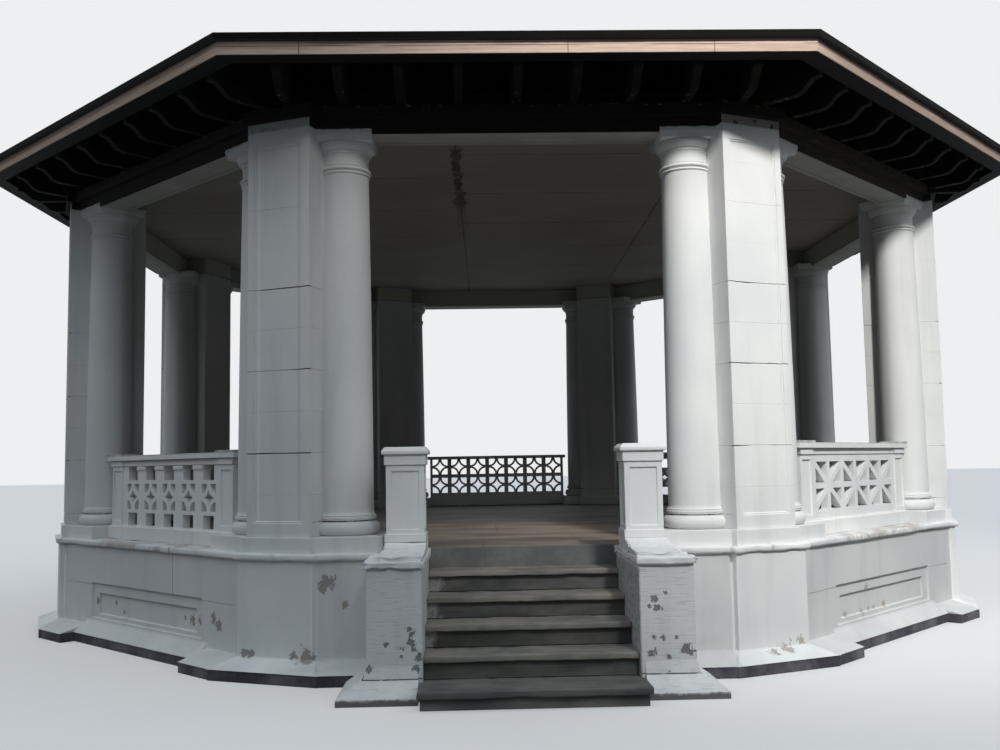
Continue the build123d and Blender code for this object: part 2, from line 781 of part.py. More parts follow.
rafter_row = []
for i in range(-RAFTER_COUNT, RAFTER_COUNT + 1):
    shape = rafter(i * RAFTER_STEP)
    if abs(i) == RAFTER_COUNT:
        side = 1 if i > 0 else -1
        hip = side * (EAVE_OUT * tan(HALF) - HIP_GAP)
        wedge = slab([(0, 0), (hip, -EAVE_OUT), (0, -EAVE_OUT)], CORNICE_TOP - 50, under_roof(0))
        shape = shape & wedge
    rafter_row.append(shape)
RAFTER_HALVES = {
    "rafters_front": ("left", "front_left", "front", "front_right"),
    "rafters_back": ("right", "back_right", "back", "back_left"),
}
for name, bays in RAFTER_HALVES.items():
    save(name, *[turned(BAYS[bay], shape) for bay in bays for shape in rafter_row])

fascia = slab(octagon(FASCIA_OUT), EAVE_BOTTOM, EAVE_TOP)
fascia = fascia - slab(octagon(FASCIA_OUT - FASCIA_THICK), EAVE_BOTTOM + EAVE_STRIP, EAVE_TOP + 5)
fascia = fascia - slab(octagon(RAFTER_TAIL), EAVE_BOTTOM - 5, EAVE_TOP + 5)
save("fascia", fascia)

PEAK = under_roof(0)


def pyramid(apothem, low, peak):
    """Eight-sided pyramid."""
    small = 0.002
    return frustum(octagon(apothem), low, octagon(apothem * small), low + (peak - low) * (1 - small))


drip = slab(octagon(EAVE_OUT), EAVE_TOP, EAVE_TOP + SHINGLE)
cap = pyramid(EAVE_OUT, EAVE_TOP + SHINGLE, EAVE_TOP + SHINGLE + EAVE_OUT * ROOF_PITCH)
hollow = pyramid(FASCIA_OUT - FASCIA_THICK, EAVE_TOP, PEAK)
save("roof", (drip + cap) - hollow)
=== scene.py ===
from math import atan2, cos, pi, radians, sin, sqrt

import bmesh
import bpy
from mathutils import Matrix, Vector, noise


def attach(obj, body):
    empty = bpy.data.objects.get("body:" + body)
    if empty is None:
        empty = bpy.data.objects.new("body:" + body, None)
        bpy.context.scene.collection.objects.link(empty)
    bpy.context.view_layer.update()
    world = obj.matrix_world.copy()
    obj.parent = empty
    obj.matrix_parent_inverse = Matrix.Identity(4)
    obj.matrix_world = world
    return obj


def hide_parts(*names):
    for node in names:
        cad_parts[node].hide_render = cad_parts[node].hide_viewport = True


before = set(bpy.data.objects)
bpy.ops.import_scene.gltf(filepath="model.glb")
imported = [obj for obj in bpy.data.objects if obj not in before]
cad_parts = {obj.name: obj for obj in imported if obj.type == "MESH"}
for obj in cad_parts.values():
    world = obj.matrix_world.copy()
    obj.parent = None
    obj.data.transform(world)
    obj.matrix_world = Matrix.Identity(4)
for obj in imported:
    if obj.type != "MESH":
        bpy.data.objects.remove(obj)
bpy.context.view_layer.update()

# The octagon's centre stands a little behind the origin, and the front side faces -Y.
CENTRE_Y = 0.21
HALF = radians(22.5)
BAYS = {
    "front": 0,
    "front_right": 45,
    "right": 90,
    "back_right": 135,
    "back": 180,
    "back_left": 225,
    "left": 270,
    "front_left": 315,
}
PIERS = {
    "front_left": -22.5,
    "front_right": 22.5,
    "right_front": 67.5,
    "right_back": 112.5,
    "back_right": 157.5,
    "back_left": 202.5,
    "left_back": 247.5,
    "left_front": 292.5,
}
# Half of those bearings, since a line through the middle serves two opposite bays or piers.
BAY_LINES = (0, 45, 90, 135)
PIER_LINES = (-22.5, 22.5, 67.5, 112.5)

# levels
FIRST_TOP = 0.130
CHEEK_FOOT_TOP = 0.156
RISE = 0.161
WALL_FOOT_TOP = 0.215
WALL_JOINT = 0.532
CHEEK_CAP_LOW = 0.880
LEDGE_LOW = 0.885
LEDGE_LIP = 0.896
FLOOR_TOP = 0.935
LEDGE_BAND_TOP = 0.951
CHEEK_CAP_TOP = 1.045
PLINTH_TOP = 1.070
COLUMN_SEAT = 1.184
BAR_HEAD_LOW = 1.602
BAR_HEAD_TOP = 1.644
COPING_BED = 1.6455
COPING_LIP = 1.699
COPING_TOP = 1.749
ABACUS_LOW = 4.220
ABACUS_EDGE = 4.268
PIER_TOP = 4.310
BAND_TOP = 4.380
BEAM_EDGE_LOW = 4.452
BEAM_EDGE_TOP = 4.490
EAVE_TOP = 4.727
SHINGLE_TOP = 4.777

# plans, as distances from the middle or from a centre line
PLINTH_BAY_OUT = 4.700
PLINTH_BAY_IN = 4.078
PLINTH_PIER_OUT = 5.020
PLINTH_PIER_IN = 4.229
PLINTH_PIER_HALF = 0.310
WING_END = 1.090
PIER_OUT = 4.995
PIER_IN = 4.254
PIER_HALF = 0.285
PANEL_HALF = 0.200
PANEL_LOW = 1.175
PANEL_HIGH = 4.180
PANEL_EDGE = 0.184
# width and rise of each step in from the edge of a pier's panel
PANEL_STEPS = ((0.004, -0.007), (0.016, 0.0), (0.009, -0.007), (0.004, 0.0))
COLUMN_ASIDE = 1.407
COLUMN_OUT = 4.389
ABACUS_HALF = 0.2485
ABACUS_IN = 0.016
INNER_FACES = 4.420
SEAT_IN = 4.450
BEAM_IN = 4.330
BEAM_OUT = 4.600
TAILS_OUT = 5.050
FASCIA_IN = 5.325
FASCIA_OUT = 5.360
EAVE_OUT = 5.400
BAY_WALL_HALF = 1.595
WALL_JOINT_FROM = 1.000
WALL_JOINT_TO = 1.510
WALL_RENT = 0.523
LEDGE_IN_BAY = 4.760
CHEEK_IN = 0.750
HEAD_STONE = 4.170

# repeats
COURSE = 0.325
COURSE_JOINTS = 9
OPEN_JOINTS = 6
FLAG_DEEP = 1.24
FLAG_WIDE = 1.55
BAR_PITCH = 0.343
BAR_HEAD_HALF = 0.084
BAR_HEAD_FACES = ((4.478, 4.503), (4.397, 4.425))
SLOPE = 1 / 3
SHINGLE_ROWS = 40
SHINGLE_LIFT = 0.007
TAB_WIDTH = 0.300

# ceiling seams: a long one that leans a little, and board joints on its left and right
SEAM_X = -0.468
SEAM_LEAN = 0.013
LEFT_JOINTS = (-2.47, -1.14, 0.17, 1.46, 2.78, 3.99)
RIGHT_JOINTS = (-3.23, -1.85, -0.50, 0.82, 2.13, 3.41)
SECOND_SEAM_X = 1.755
SECOND_SEAM_LEAN = 0.018

# fascia: the level of its lap below the top, and its butt joints on the front
LAP_DOWN = 0.040
BUTT_JOINTS = (-1.62, 0.36, 1.45)


# shader maths


class Sock:
    """A value in a material: a node's output, with arithmetic."""

    def __init__(self, paint, out):
        self.paint = paint
        self.out = out

    def maths(self, operation, *values):
        return self.paint.node("ShaderNodeMath", {"operation": operation}, dict(enumerate(values)))

    def __add__(self, other):
        return self.maths("ADD", self, other)

    def __radd__(self, other):
        return self.maths("ADD", other, self)

    def __sub__(self, other):
        return self.maths("SUBTRACT", self, other)

    def __rsub__(self, other):
        return self.maths("SUBTRACT", other, self)

    def __mul__(self, other):
        return self.maths("MULTIPLY", self, other)

    def __rmul__(self, other):
        return self.maths("MULTIPLY", other, self)

    def __truediv__(self, other):
        return self.maths("DIVIDE", self, other)

    def __abs__(self):
        return self.maths("ABSOLUTE", self)

    def largest(self, other):
        return self.maths("MAXIMUM", self, other)

    def smallest(self, other):
        return self.maths("MINIMUM", self, other)

    def fraction(self):
        return self.maths("FRACT", self)

    def whole(self):
        return self.maths("FLOOR", self)


def most(values):
    """The largest of a list of values."""
    total = values[0]
    for value in values[1:]:
        total = total.largest(value)
    return total


class Paint:
    """A material under construction."""

    def __init__(self, name):
        self.material = bpy.data.materials.new(name)
        self.material.use_nodes = True
        self.tree = self.material.node_tree
        self.tree.nodes.clear()
        self.place = self.node("ShaderNodeTexCoord", out=3)
        self.x, self.y, self.z = self.split(self.place)
        self.y = self.y - CENTRE_Y

    def node(self, kind, settings=None, sockets=None, out=0):
        """Add a node with its settings and the values or links of its sockets."""
        made = self.tree.nodes.new(kind)
        for key, value in (settings or {}).items():
            setattr(made, key, value)
        for key, value in (sockets or {}).items():
            if isinstance(value, Sock):
                self.tree.links.new(value.out, made.inputs[key])
            elif isinstance(value, tuple) and made.inputs[key].type == "RGBA":
                made.inputs[key].default_value = (*value, 1)
            else:
                made.inputs[key].default_value = value
        return Sock(self, made.outputs[out]) if made.outputs else None

    def split(self, vector):
        made = self.tree.nodes.new("ShaderNodeSeparateXYZ")
        self.tree.links.new(vector.out, made.inputs[0])
        return [Sock(self, made.outputs[i]) for i in range(3)]

    def join(self, x, y, z):
        return self.node("ShaderNodeCombineXYZ", None, {0: x, 1: y, 2: z})

    def stretched(self, x, y, z):
        return self.node("ShaderNodeMapping", None, {"Vector": self.place, "Scale": (x, y, z)})

    def noise(self, scale, detail=4.0, rough=0.55, at=None, distort=0.0):
        sockets = {
            "Vector": at or self.place,
            "Scale": scale,
            "Detail": detail,
            "Roughness": rough,
            "Distortion": distort,
        }
        return self.node("ShaderNodeTexNoise", None, sockets)

    def wander(self, span, scale, detail, rough, at=None, distort=0.0):
        """Noise that strays to both sides of nought, over a span."""
        return (self.noise(scale, detail, rough, at, distort) - 0.5) * span

    def step(self, value, low, high):
        """Smooth rise from 0 at low to 1 at high."""
        sockets = {0: value, 1: low, 2: high, 3: 0.0, 4: 1.0}
        return self.node("ShaderNodeMapRange", {"interpolation_type": "SMOOTHSTEP"}, sockets)

    def near(self, value, place, outer, inner):
        """1 within an inner distance of a place, falling to 0 at an outer one."""
        return self.step(abs(value - place), outer, inner)

    def mix(self, low, high, factor):
        return self.node("ShaderNodeMix", {"data_type": "RGBA"}, {0: factor, 6: low, 7: high}, 2)

    def shade(self, colour, amount):
        """Colour times a number."""
        grey = self.join(amount, amount, amount)
        return self.node("ShaderNodeVectorMath", {"operation": "MULTIPLY"}, {0: colour, 1: grey})

    def bump(self, height, strength, distance):
        sockets = {"Height": height, "Strength": strength, "Distance": distance}
        return self.node("ShaderNodeBump", None, sockets)

    def finish(self, colour, rough, normal=None, specular=0.18, glow=None):
        sockets = {"Base Color": colour, "Roughness": rough, "Specular IOR Level": specular}
        if glow is not None:
            sockets["Emission Color"] = glow
            sockets["Emission Strength"] = 1.0
        if normal is not None:
            sockets["Normal"] = normal
        surface = self.node("ShaderNodeBsdfPrincipled", None, sockets)
        self.node("ShaderNodeOutputMaterial", None, {"Surface": surface})
        return self.material

    def spots(self, places, raggedness):
        """Mask that is 1 in ragged patches round the given points, each an (x, y, z, radius)."""
        edge = self.wander(raggedness, 21.0, 6.0, 0.68, None, 0.6)
        patches = []
        for x, y, z, radius in places:
            ends = {0: self.place, 1: (x, y, z)}
            gap = self.node("ShaderNodeVectorMath", {"operation": "DISTANCE"}, ends, 1)
            patches.append(1.0 - gap / (radius * CHIP_SIZE))
        return self.step(most(patches) + edge, 0.0, 0.10)

    def lines(self, value, places, width):
        """Mask of thin lines where a value passes the given places."""
        return most([self.near(value, place, width, width * 0.4) for place in places])


def reach(p, lines):
    """Distance from the middle along the nearest of some lines through it."""
    return most([abs(p.x * sin(radians(d)) - p.y * cos(radians(d))) for d in lines])


def aside(p, line):
    """Distance to the right of a line through the middle, as seen from outside."""
    return p.x * cos(radians(line)) + p.y * sin(radians(line))


def off_line(p, lines):
    """Distance to either side of the nearest of some lines through the middle."""
    total = abs(aside(p, lines[0]))
    for line in lines[1:]:
        total = total.smallest(abs(aside(p, line)))
    return total


# chips in the paint: (x, y, z, radius), drawn at a share of that radius
CHIP_SIZE = 0.66
WALL_CHIPS = [
    (-1.509, -4.52, 0.733, 0.085),
    (-1.540, -4.52, 0.690, 0.055),
    (-1.375, -4.52, 0.559, 0.040),
    (-2.443, -4.036, 0.350, 0.075),
    (-2.500, -3.980, 0.400, 0.060),
    (-2.676, -3.804, 0.356, 0.055),
    (-2.116, -4.369, 0.184, 0.060),
    (-2.180, -4.340, 0.180, 0.050),
    (-1.661, -4.557, 0.178, 0.085),
    (-1.760, -4.500, 0.178, 0.060),
    (2.150, -4.330, 0.194, 0.060),
    (2.031, -4.449, 0.160, 0.080),
    (1.900, -4.520, 0.160, 0.070),
    (2.732, -3.747, 0.330, 0.030),
    (2.942, -3.537, 0.334, 0.028),
    (2.850, -3.620, 0.440, 0.030),
    (-3.975, -2.454, 0.375, 0.050),
    (-3.729, -2.694, 0.380, 0.034),
    (-3.611, -2.812, 0.312, 0.034),
    (-2.754, -3.665, 0.350, 0.060),
    (-2.848, -3.574, 0.357, 0.040),
    (2.765, -3.650, 0.280, 0.045),
    (2.989, -3.425, 0.261, 0.050),
    (3.100, -3.320, 0.275, 0.030),
    (3.171, -3.245, 0.285, 0.034),
    (3.328, -3.090, 0.285, 0.050),
    (3.063, -3.380, 0.469, 0.040),
]
CHEEK_CHIPS = [
    (-1.008, -5.29, 0.385, 0.035),
    (-0.821, -5.29, 0.452, 0.048),
    (-0.835, -5.29, 0.400, 0.030),
    (-0.884, -5.29, 0.352, 0.030),
    (-0.816, -5.29, 0.357, 0.036),
    (-0.775, -5.29, 0.300, 0.036),
    (-1.116, -5.29, 0.226, 0.032),
    (-0.798, -5.29, 0.222, 0.036),
    (-0.900, -5.29, 0.300, 0.024),
    (0.930, -5.29, 0.700, 0.020),
    (0.862, -5.29, 0.655, 0.040),
    (0.875, -5.29, 0.600, 0.036),
    (0.815, -5.29, 0.610, 0.020),
    (0.840, -5.29, 0.395, 0.030),
    (0.900, -5.29, 0.395, 0.026),
    (1.000, -5.29, 0.390, 0.022),
    (0.832, -5.29, 0.285, 0.044),
    (0.950, -5.29, 0.265, 0.026),
    (1.060, -5.29, 0.320, 0.060),
    (1.100, -5.29, 0.290, 0.050),
    (0.940, -5.29, 0.170, 0.022),
]

# colours
GREY_PLASTER = ((0.200, 0.185, 0.168), (0.400, 0.370, 0.340))
DARK_PLASTER = ((0.085, 0.082, 0.078), (0.300, 0.290, 0.275))
TAN_PLASTER = (0.560, 0.490, 0.430)
CRACK = (0.060, 0.055, 0.050)
BLACK_WOOD = (0.0022, 0.0020, 0.0018)


# white paint on masonry


def white_ground(p, grime, bright=1.0):
    """Old white paint, faintly mottled and grimy low down: its colour and the height of its skin."""
    broad = p.noise(0.9, 3.0, 0.5)
    fine = p.noise(26.0, 5.0, 0.6)
    streak = p.noise(5.0, 3.0, 0.55, p.stretched(1.0, 1.0, 0.12))
    colour = p.mix((0.715, 0.725, 0.720), (0.800, 0.800, 0.782), p.step(broad, 0.35, 0.65))
    colour = p.shade(colour, bright * (1.0 - 0.10 * p.step(streak, 0.50, 0.78) - 0.05 * fine))
    low = p.step(p.z, 0.42, 0.08) * p.step(p.noise(3.2, 5.0, 0.6), 0.40, 0.70)
    colour = p.mix(colour, (0.36, 0.36, 0.34), low * grime)
    return colour, fine * 0.25 + p.noise(7.0, 3.0, 0.5) * 0.5


def specks(p):
    """Mask of small chips, with more of them low down."""
    return p.step(p.noise(19.0, 6.0, 0.72) + p.step(p.z, 0.60, 0.10) * 0.055, 0.725, 0.740)


def bare_plaster(p, tones=GREY_PLASTER):
    """The plaster that shows where the paint has gone."""
    return p.mix(*tones, p.noise(21.0, 5.0, 0.65))


def chipped(p, colour, height, mask, bare):
    """Finish the white paint with its chips and the stain where it meets the ground."""
    colour = p.mix(colour, bare, mask * 0.92)
    stain = p.step(p.z + p.wander(0.06, 12.0, 5.0, 0.7, p.stretched(1.0, 1.0, 0.35)), 0.050, 0.028)
    colour = p.mix(colour, (0.110, 0.108, 0.105), stain * 0.85)
    height = height - mask * 1.6
    return p.finish(colour, 0.66 + 0.2 * mask, p.bump(height, 0.35, 0.006))


def wall_paint():
    """Base walls: ledges crumbled between the piers, sunk bays darkened by a grey wash and by painted shade,
    and some cracks.
    """
    p = Paint("wall_paint")
    colour, height = white_ground(p, 0.25)
    foot = p.step(p.z, WALL_FOOT_TOP, WALL_FOOT_TOP - 0.025)
    colour = p.mix(colour, (0.840, 0.840, 0.835), foot * 0.15)
    between = p.step(reach(p, PIER_LINES) + p.wander(0.5, 4.0, 5.0, 0.7), LEDGE_IN_BAY, LEDGE_IN_BAY - 0.1)
    crumbled = between * p.step(p.z, LEDGE_LIP, LEDGE_LIP + 0.010)
    crumbled = crumbled * p.step(p.noise(7.0, 6.0, 0.7), 0.40, 0.58)
    colour = p.mix(colour, (0.420, 0.360, 0.325), crumbled * 0.75)
    height = height - crumbled * p.step(p.noise(30.0, 5.0, 0.7), 0.4, 0.6) * 1.5
    # The sunk bays are darker, partly a grey wash and partly painted shade, more so on the right.
    side = off_line(p, BAY_LINES)
    bay_wash_and_shade = p.step(side, BAY_WALL_HALF, BAY_WALL_HALF - 0.025) * p.step(p.z, LEDGE_LOW + 0.008, LEDGE_LOW)
    colour = p.shade(colour, 1.03 - bay_wash_and_shade * (0.12 + 0.06 * p.step(p.x, 0.0, 1.0)))
    joint = p.near(p.z + p.wander(0.02, 2.0, 3.0, 0.5), WALL_JOINT, 0.0040, 0.0018)
    joint = joint * p.step(side, WALL_JOINT_FROM, WALL_JOINT_FROM + 0.005)
    joint = joint * p.step(side, WALL_JOINT_TO, WALL_JOINT_TO - 0.030) * p.step(p.y, -4.70, -4.66)
    rent = p.near(side + p.wander(0.03, 5.0, 4.0, 0.6), WALL_RENT, 0.0055, 0.0025)
    rent = rent * p.step(p.z, WALL_JOINT + 0.008, WALL_JOINT + 0.013)
    rent = rent * p.step(p.x, -2.5, -2.6) * p.step(p.y, -3.3, -3.4)
    joint = joint.largest(rent) * p.step(p.noise(4.0, 4.0, 0.6), 0.30, 0.46)
    colour = p.mix(colour, (0.200, 0.195, 0.185), joint * 0.8)
    mask = specks(p).largest(p.spots(WALL_CHIPS, 4.4))
    bare = p.mix(bare_plaster(p), TAN_PLASTER, p.step(p.x, 1.2, 2.4) * 0.55)
    return chipped(p, colour, height, mask, bare)


def cheek_paint():
    """Cheek walls: brushed level, darkened on their inner faces by dirt and painted shade, and split along
    the foot.
    """
    p = Paint("cheek_paint")
    colour, height = white_ground(p, 0.25, 1.06)
    brushed = p.noise(9.0, 6.0, 0.7, p.stretched(0.8, 0.8, 9.0))
    colour = p.mix(colour, (0.33, 0.34, 0.35), p.step(brushed, 0.54, 0.66) * 0.34)
    height = height - p.step(brushed, 0.5, 0.62) * 0.9
    peeled = p.step(p.noise(11.0, 6.0, 0.75, p.stretched(1.0, 1.0, 2.2)), 0.44, 0.62)
    # Inner faces darkened, partly dirt and partly painted shade, most on the right cheek.
    inner = p.step(abs(p.x), CHEEK_IN + 0.012, CHEEK_IN + 0.004)
    inner = inner * p.step(p.z, CHEEK_CAP_LOW, CHEEK_CAP_LOW - 0.020)
    dirt_and_shade = inner * (0.25 + 0.45 * p.step(p.x, -0.1, 0.1)) * (0.65 + 0.35 * peeled)
    colour = p.mix(colour, (0.155, 0.152, 0.145), dirt_and_shade)
    split_line = p.near(p.z + p.wander(0.010, 6.0, 3.0, 0.6), CHEEK_FOOT_TOP, 0.0045, 0.0025)
    split_line = split_line * p.step(p.y, -5.2, -5.3) * p.step(p.noise(5.0, 4.0, 0.6), 0.34, 0.44)
    colour = p.mix(colour, (0.045, 0.042, 0.038), split_line * 0.9)
    mask = specks(p).largest(p.spots(CHEEK_CHIPS, 5.6))
    return chipped(p, colour, height, mask, bare_plaster(p, DARK_PLASTER))


def pier_paint():
    """Piers: open joints at every second course, painted light and shade on the panel edges, painted shade on
    the inner faces, dark tops.
    """
    p = Paint("pier_paint")
    colour, height = white_ground(p, 0.1)
    waver = p.wander(0.022, 3.5, 4.0, 0.6)
    step_up = ((p.z + waver - PLINTH_TOP) / (2 * COURSE) + 0.5).fraction() - 0.5
    near_joint = abs(step_up) * (2 * COURSE)
    shaft = p.step(p.z, PLINTH_TOP + COURSE, PLINTH_TOP + 1.2 * COURSE) * p.step(p.z, 4.2, 4.15)
    on_pier = p.step(reach(p, PIER_LINES), PIER_OUT - 0.035, PIER_OUT - 0.030)
    wide = 0.0045 * p.step(p.noise(2.0, 3.0, 0.5), 0.36, 0.62)
    crack = p.step(near_joint - wide, 0.0012, -0.0004) * shaft * on_pier
    crack = crack * (1.0 - 0.85 * p.step(p.z, 3.30, 3.40))
    colour = p.mix(colour, CRACK, crack * 0.92)
    height = height - crack * 2.0
    # Painted shade: pier faces toward the inside are darker.
    colour = p.shade(colour, 1.0 - 0.24 * p.step(reach(p, BAY_LINES), INNER_FACES, INNER_FACES - 0.1))
    # Painted light and shade on the panel's moulding: lighter at its left edge and darker at its right, seen
    # from outside, with the sides taken from the front-left pier's line.
    across = aside(p, PIERS["front_left"])
    framed = on_pier * p.step(p.z, PANEL_LOW + 0.005, PANEL_LOW + 0.035)
    framed = framed * p.step(p.z, PANEL_HIGH, PANEL_HIGH - 0.030)
    painted_lit_edge = p.near(across, -PANEL_EDGE, 0.016, 0.009)
    painted_shaded_edge = p.near(across, PANEL_EDGE, 0.016, 0.009)
    colour = p.shade(colour, 1.0 + framed * (0.12 * painted_lit_edge - 0.14 * painted_shaded_edge))
    foot = p.near(p.z, COLUMN_SEAT, 0.0055, 0.0030)
    foot = foot * (0.25 + 0.75 * p.step(p.noise(9.0, 5.0, 0.7), 0.46, 0.54)) * (1.0 - on_pier)
    colour = p.mix(colour, CRACK, foot * 0.85)
    crown = p.step(p.z + p.wander(0.030, 14.0, 4.0, 0.6), PIER_TOP - 0.012, PIER_TOP - 0.004)
    colour = p.mix(colour, (0.050, 0.045, 0.040), crown * (0.9 - 0.7 * on_pier))
    return chipped(p, colour, height, specks(p), bare_plaster(p))


def newel_paint():
    p = Paint("newel_paint")
    colour, height = white_ground(p, 0.1)
    return chipped(p, colour, height, specks(p), bare_plaster(p))


def rail_paint():
    """Balustrades: a stained coping, with dark lines under its mouldings, painted as joints and shade."""
    p = Paint("rail_paint")
    colour, height = white_ground(p, 0.1)
    top = p.step(p.z, COPING_TOP - 0.011, COPING_TOP)
    stain = p.step(p.noise(6.0, 5.0, 0.65), 0.36, 0.62)
    colour = p.mix(colour, (0.270, 0.268, 0.255), top * (0.35 + 0.5 * stain))
    # Dark line at the coping's bed is a joint; the stronger one under its lip is a joint with painted shade.
    under = p.near(p.z, COPING_BED, 0.0030, 0.0016) * 0.6
    under = under.largest(p.near(p.z, COPING_LIP, 0.0040, 0.0022))
    colour = p.mix(colour, (0.090, 0.088, 0.082), under * 0.75)
    return chipped(p, colour, height, specks(p), bare_plaster(p))


# stone


def step_stone(p, colour, broad):
    """Finish the worn dark stone of the steps over its broad tones."""
    fine = p.noise(40.0, 5.0, 0.65)
    scratches = p.noise(8.0, 5.0, 0.7, p.stretched(0.25, 1.0, 6.0))
    colour = p.shade(colour, 1.10 - 0.35 * p.step(scratches, 0.50, 0.75) - 0.12 * fine)
    return p.finish(colour, 0.72, p.bump(fine * 0.5 + broad + scratches * 0.7, 0.45, 0.006))


def riser_stone():
    """Risers, with open joints under the treads and whitewash splashed on the left."""
    p = Paint("riser_stone")
    broad = p.noise(2.4, 4.0, 0.6, p.stretched(0.6, 1.4, 1.4))
    colour = p.mix((0.068, 0.071, 0.070), (0.165, 0.162, 0.150), p.step(broad, 0.32, 0.70))
    above = (p.z - FIRST_TOP) / RISE
    upper = p.step(above, 2.9, 3.1)
    colour = p.shade(colour, 0.90 + 0.10 * upper + 0.65 * p.step(above, 0.1, -0.1))
    splash = p.step(p.x + p.wander(0.34, 4.0, 5.0, 0.7), 0.100 - CHEEK_IN, 0.040 - CHEEK_IN)
    splash = splash * p.step(above, 0.9, 1.0)
    thin = 0.30 + 0.5 * p.step(p.noise(40.0, 5.0, 0.65), 0.35, 0.60)
    colour = p.mix(colour, (0.420, 0.425, 0.420), splash * thin)
    open_joint = p.step(abs((above + 0.5).fraction() - 0.5), 0.030, 0.018)
    open_joint = open_joint * p.step(p.noise(1.3, 3.0, 0.5, p.stretched(1.0, 1.0, 0.1)), 0.25, 0.40)
    colour = p.mix(colour, (0.008, 0.007, 0.006), open_joint * 0.9)
    return step_stone(p, colour, broad)


def tread_stone():
    """Treads, trodden brown and specked with white, over a slate grey first slab."""
    p = Paint("tread_stone")
    broad = p.noise(2.4, 4.0, 0.6, p.stretched(0.6, 1.4, 1.4))
    colour = p.mix((0.140, 0.136, 0.126), (0.260, 0.246, 0.222), p.step(broad, 0.32, 0.70))
    worn = p.step(p.noise(1.7, 4.0, 0.6), 0.40, 0.64)
    colour = p.mix(colour, (0.340, 0.300, 0.256), worn * 0.70)
    slate = p.mix((0.078, 0.080, 0.080), (0.150, 0.148, 0.138), p.step(broad, 0.38, 0.62))
    colour = p.mix(colour, slate, p.step(p.z, 0.20, 0.16) * 0.85)
    pale = p.step(p.noise(5.5, 6.0, 0.7), 0.66, 0.72)
    colour = p.mix(colour, (0.40, 0.40, 0.39), pale * 0.5)
    return step_stone(p, colour, broad)


def floor_stone():
    """Flagstones, a brown patch inside the entrance that is partly trodden wear and partly painted sunlight,
    and a dark stone along the head of the stairs.
    """
    p = Paint("floor_flags")
    jog = (p.y / FLAG_DEEP).whole() * 0.45
    joint_y = abs((p.y / FLAG_DEEP).fraction() - 0.5)
    joint_x = abs((p.x / FLAG_WIDE + jog).fraction() - 0.5)
    line = p.step(joint_y, 0.494, 0.497).largest(p.step(joint_x, 0.496, 0.498))
    broad = p.noise(1.1, 4.0, 0.6, p.stretched(0.6, 1.5, 1.0))
    fine = p.noise(30.0, 5.0, 0.6)
    head = p.step(p.y, -HEAD_STONE, -HEAD_STONE - 0.010)
    colour = p.mix((0.068, 0.066, 0.063), (0.125, 0.118, 0.110), p.step(broad, 0.34, 0.66))
    # The brown patch is partly wear and partly a painted pool of sunlight.
    ragged = p.wander(1.3, 1.2, 5.0, 0.65)
    trodden_and_sunlit = p.step(p.y + ragged, -0.2, -1.7) * p.step(abs(p.x) + ragged * 0.6, 1.35, 0.75)
    brown = p.mix((0.140, 0.112, 0.093), (0.320, 0.256, 0.210), p.step(broad, 0.36, 0.64))
    colour = p.mix(colour, brown, trodden_and_sunlit)
    colour = p.mix(colour, (0.035, 0.033, 0.030), line * (1.0 - head) * 0.45)
    dark = p.mix((0.135, 0.142, 0.140), (0.215, 0.218, 0.208), p.step(p.noise(2.6, 5.0, 0.65), 0.34, 0.68))
    colour = p.mix(colour, dark, head)
    return p.finish(p.shade(colour, 1.05 - 0.2 * fine), 0.65, p.bump(fine * 0.4 - line, 0.35, 0.006))


def kerb_stone():
    p = Paint("kerb_stone")
    broad = p.noise(3.0, 5.0, 0.65)
    colour = p.mix((0.064, 0.062, 0.076), (0.185, 0.180, 0.196), p.step(broad, 0.38, 0.72))
    return p.finish(colour, 0.8, p.bump(broad + p.noise(25.0, 4.0, 0.6) * 0.4, 0.5, 0.008))


# boards, timber and shingles


def ceiling_paint():
    """Wide boards on either side of one long seam, with an old stain beside it."""
    p = Paint("ceiling_boards")
    seam_at = p.x - SEAM_X - (p.y + CENTRE_Y) * SEAM_LEAN
    right = p.step(seam_at, -0.002, 0.002)
    bow = p.y + p.wander(0.03, 0.9, 2.0, 0.5)
    left_joints = p.lines(bow, LEFT_JOINTS, 0.011) * (1.0 - right)
    right_joints = p.lines(bow, RIGHT_JOINTS, 0.011) * right
    strength = 0.30 + 0.70 * p.step(p.noise(1.3, 4.0, 0.6), 0.42, 0.60)
    line = left_joints.largest(right_joints) * strength
    broken = p.step(p.noise(2.6, 5.0, 0.7), 0.40, 0.52)
    line = line.largest(p.step(abs(seam_at), 0.012, 0.004) * (0.35 + 0.55 * broken))
    second = p.near(p.x - p.y * SECOND_SEAM_LEAN, SECOND_SEAM_X, 0.014, 0.005) * p.step(p.y, 3.3, 3.1)
    line = line.largest(second * (0.25 + 0.55 * broken))
    nails = p.step(p.noise(1.0, 5.0, 0.72, p.stretched(5.0, 24.0, 1.0)), 0.655, 0.70)
    line = line.largest(nails * 0.55)
    fine = p.noise(22.0, 4.0, 0.6)
    colour = p.mix((0.330, 0.298, 0.258), (0.375, 0.342, 0.300), p.step(p.noise(0.8, 3.0), 0.35, 0.65))
    colour = p.mix(colour, (0.042, 0.036, 0.028), line * 0.9)
    along = p.step(p.y, -0.75, -1.60) * p.step(p.y, -3.44, -3.36)
    ragged = p.wander(0.20, 4.5, 4.0, 0.6)
    strip = p.step(abs(seam_at + 0.004) + ragged, 0.062, 0.040) * (0.30 + 0.70 * along)
    rusty = p.step(p.noise(7.0, 5.0, 0.7), 0.42, 0.62)
    brown = p.mix((0.016, 0.013, 0.008), (0.170, 0.125, 0.050), rusty)
    colour = p.mix(colour, brown, strip * p.step(p.y, 1.2, -1.0) * 0.9)
    normal = p.bump(fine * 0.2 - line, 0.4, 0.006)
    return p.finish(p.shade(colour, 1.03 - 0.06 * fine), 0.75, normal, 0.15)


